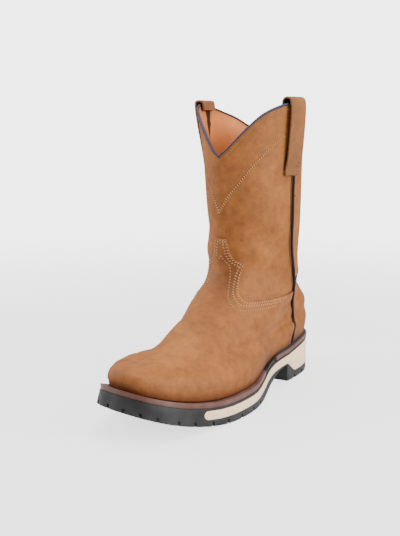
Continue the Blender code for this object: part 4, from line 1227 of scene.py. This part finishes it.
def front_rows(half):
    """A row of (across, height) seen from the front and its mirror image, on the overlay."""
    rows = []
    for side in (1, -1):
        points = half * (side, 1) + (SHAFT_LEAN, 0)
        start = np.arcsin(np.clip((points[:, 0] - SHAFT_LEAN) / 0.046, -0.95, 0.95))
        level = np.interp(points[:, 1], [0.06, 0.09, 0.125, 0.16, 0.27], [5.5, 7.8, 10.1, 12, 12.95])
        angle, level = face_spot(points[:, 1], 1, points[:, 0], start, level)
        landed = bare_face(angle, level)
        on_face = np.hypot(landed[:, 1] - points[:, 0], landed[:, 2] - points[:, 1]) < 0.0003
        ahead = landed[:, 0] > seam_along(landed[:, 2]) + 0.0045
        kept = on_face & ahead & (np.abs(np.degrees(angle)) < 100)
        rows.append(upper_face(angle[kept], level[kept], TOP_OF_OVERLAY))
    return rows


def shaft_row(points, side):
    """A row given as (degrees from the front to one side, height) on the shaft."""
    scale = np.array((ROW_STEP * side, 1.0))
    points = even_line(np.asarray(points) * scale) / (ROW_STEP, 1.0)
    angle = np.radians(points[:, 0])
    level = SHAFT_START + (points[:, 1] - INSTEP_HEIGHT) / (collar_height(angle) - INSTEP_HEIGHT)
    return upper_face(angle, level, ON_LEATHER)


cream_thread = thread_finish("cream_thread_finish", (0.50, 0.27, 0.105))
tan_thread = thread_finish("tan_thread_finish", (0.36, 0.19, 0.075))
# Near-black finish for needle holes and pinholes: painted shade inside the holes
hole_shade = thread_finish("needle_hole_shade_finish", (0.035, 0.016, 0.008))

yoke_half = [
    (0.0, 0.1755), (12.3, 0.1926), (23.4, 0.2034), (36.8, 0.2186), (47.5, 0.2278), (58.5, 0.2371),
    (72.0, 0.2455),
]
yoke_rows = [shaft_row(yoke_half, side) for side in (1, -1)]
sew("yoke_stitches", yoke_rows, cream_thread, spacing=0.0024, length=0.0026, width=0.0011, slant=1.2)

for name, low, high in (("collar_stitches_front", -78, 78), ("collar_stitches_back", 102, 258)):
    turns = np.radians(np.linspace(low, high, 260))
    level = COLLAR - 0.0054 / (collar_height(turns) - INSTEP_HEIGHT)
    collar_rows = [upper_face(turns, level, ON_LEATHER)]
    sew(name, collar_rows, cream_thread, spacing=0.0021, length=0.0014, width=0.0007)

tongue_line = even_line(rounded_line(tongue_half))
tongue_rows = []
for inset, lowest, first in ((0.0018, 0.0, 0.0), (0.0042, 0.0, 0.0), (0.0068, 0.132, 0.0030)):
    half = beside(tongue_line, inset)
    tongue_rows += front_rows(half[(half[:, 1] > lowest) & (half[:, 0] >= first)])
sew("tongue_stitches", tongue_rows, cream_thread, spacing=0.0028, length=0.0024, width=0.0012, slant=1.0)

low_half = beside(tongue_line, 0.0074)
house_half = rounded_line([
    (0.0, 0.1335), (0.0035, 0.1290), (0.0075, 0.1255), (0.0092, 0.1210), (0.0100, 0.1140),
    (0.0118, 0.1060),
])
house_rows = front_rows(even_line(np.concatenate([house_half, low_half[low_half[:, 1] < 0.1030]])))
sew("instep_stitches", house_rows, cream_thread, spacing=0.0028, length=0.0018, width=0.0010, slant=0.6)

ROW_POINTS = 60
counter_rows = []
for side in (1, -1):
    for inset in (0.0022, 0.0050):
        along = np.linspace(seam_along(SEAM_TOP) - room - 0.003, 0.030, ROW_POINTS)
        start = side * np.radians(np.linspace(105, 150, ROW_POINTS))
        spots = face_spot(counter_line(along) - inset, 0, along, start, 8.6)
        counter_rows.append(upper_face(*spots, TOP_OF_OVERLAY))
sew("counter_stitches", counter_rows, tan_thread, spacing=0.0023, length=0.0014, width=0.0008)

side_rows = []
for side in (1, -1):
    for shift in (-0.0034, 0.0034):
        angle, level = seam_spots(side, 0.116, STRAP_LOW - 0.002, 110, shift)
        side_rows.append(upper_face(angle, level, 0.0001))
sew("side_seam_stitches", side_rows, tan_thread, spacing=0.0021, length=0.0013, width=0.0007)


def strap_row(side, along, height, lift):
    """A row beside the shaft with its outward directions."""
    spots = on_shaft(side, along, height, lift)
    return spots, np.tile((0.0, side, 0.0), (len(spots), 1))


def strap_face(height):
    """How far the outer strap's face stands off the shaft."""
    return np.interp(height, path[:24, 1], path[:24, 0]) + STRAP_THICKNESS / 2


strap_edge = STRAP_WIDTH / 2 - 0.0020
strap_rows = []
for side in (1, -1):
    for shift in (-strap_edge, strap_edge):
        heights = np.linspace(STRAP_LOW + 0.002, SHAFT_HEIGHT - 0.004, 80)
        strap_rows.append(strap_row(side, STRAP_PLACE + shift, heights, strap_face(heights)))
    across_row = STRAP_PLACE + np.linspace(-strap_edge, strap_edge, 26)
    for height in (STRAP_LOW + 0.0022, STRAP_LOW + 0.0052):
        strap_rows.append(strap_row(side, across_row, height, path[0, 0] + STRAP_THICKNESS / 2))
sew("strap_stitches", strap_rows, tan_thread, spacing=0.0021, length=0.0013, width=0.0006)

# Pinholes: small dark dots of painted shade for the holes that pins and needles left in
# the leather, two on the outer strap's end and one beside the side seam.

pin_spots = [(0.0868, 0.2216), (0.0892, 0.2180), (0.0845, 0.1893)]
for number, (along, height) in enumerate(pin_spots, 1):
    lift = strap_face(height) if height > STRAP_LOW else ON_LEATHER
    pin = strap_row(1, along, height + np.array([-0.0006, 0.0006]), lift)
    set_along(f"pinhole_{number}", [pin], 0.0013, 0.0015, 0.0013, 0.0006, hole_shade)

# Studio: a plain pale floor, soft light from the left and above, and the camera at the
# photograph's angle.

BACKDROP_STRENGTH = 4.6
ROOM_LIGHT = 0.74
FLOOR_SHEERNESS = 0.42
FLOOR_HALF = 4
BOOT_MIDDLE = Vector((0, 0, 0.12))

floor_corners = [(x * FLOOR_HALF, y * FLOOR_HALF, 0) for x, y in ((-1, -1), (1, -1), (1, 1), (-1, 1))]
floor_mesh = bpy.data.meshes.new("floor")
floor_mesh.from_pydata(floor_corners, [], [(0, 1, 2, 3)])
floor = put_in_scene("floor", floor_mesh)

# Pale matt floor that fades into the backdrop away from the boot
pale_floor, tree, shader, place = new_finish("pale_floor")
shader.inputs["Base Color"].default_value = (0.86, 0.86, 0.87, 1)
shader.inputs["Roughness"].default_value = 0.7
shader.inputs["Specular IOR Level"].default_value = 0.2
reach = add_node(tree, "ShaderNodeVectorMath", operation="LENGTH")
fading = {"From Min": 0.30, "From Max": 1.30, "To Min": FLOOR_SHEERNESS}
fade = add_node(tree, "ShaderNodeMapRange", fading, interpolation_type="SMOOTHSTEP")
clear = add_node(tree, "ShaderNodeBsdfTransparent")
blend = add_node(tree, "ShaderNodeMixShader")
join(
    tree,
    (place, "Object", reach, 0), (reach, "Value", fade, "Value"), (fade, "Result", blend, "Fac"),
    (shader, "BSDF", blend, 1), (clear, "BSDF", blend, 2),
    (blend, "Shader", tree.nodes["Material Output"], "Surface"),
)
floor_mesh.materials.append(pale_floor)

world = bpy.data.worlds.new("studio")
bpy.context.scene.world = world
world.use_nodes = True
tree = world.node_tree
room_light = tree.nodes["Background"]
room_light.inputs["Color"].default_value = (0.94, 0.94, 0.95, 1)
room_light.inputs["Strength"].default_value = ROOM_LIGHT
backdrop_light = {"Color": (0.94, 0.94, 0.94, 1), "Strength": BACKDROP_STRENGTH}
backdrop = add_node(tree, "ShaderNodeBackground", backdrop_light)
ray = add_node(tree, "ShaderNodeLightPath")
both = add_node(tree, "ShaderNodeMixShader")
join(
    tree,
    (ray, "Is Camera Ray", both, "Fac"), (room_light, "Background", both, 1),
    (backdrop, "Background", both, 2), (both, "Shader", tree.nodes["World Output"], "Surface"),
)


def soft_light(name, spot, size, power):
    """A square soft box that looks at the boot."""
    light = bpy.data.lights.new(name, "AREA")
    light.shape = "SQUARE"
    light.size = size
    light.energy = power
    lamp = put_in_scene(name, light)
    lamp.location = spot
    lamp.rotation_euler = (Vector(spot) - BOOT_MIDDLE).to_track_quat("Z", "Y").to_euler()


soft_light("left_light", (-1.5, -0.6, 1.0), 0.9, 31)
soft_light("right_light", (1.6, 0.1, 0.8), 0.9, 41)
soft_light("top_light", (0.0, 0.1, 1.7), 1.0, 25)

CAMERA_TURN, CAMERA_RISE, CAMERA_ROLL = math.radians(32.07), math.radians(9.77), math.radians(0.04)
CAMERA_SPOT = (0.40828, -0.83655, 0.26081)
CAMERA_LENS = 57.68
CAMERA_SENSOR = 36

camera_data = bpy.data.cameras.new("camera")
camera_data.sensor_width = CAMERA_SENSOR
camera_data.sensor_height = CAMERA_SENSOR
camera_data.sensor_fit = "AUTO"
camera_data.lens = CAMERA_LENS
camera = put_in_scene("camera", camera_data)
camera.location = Vector(CAMERA_SPOT) + Vector(BOOT_PLACE.tolist())
camera.rotation_euler = (math.pi / 2 - CAMERA_RISE, CAMERA_ROLL, CAMERA_TURN)
bpy.context.scene.camera = camera
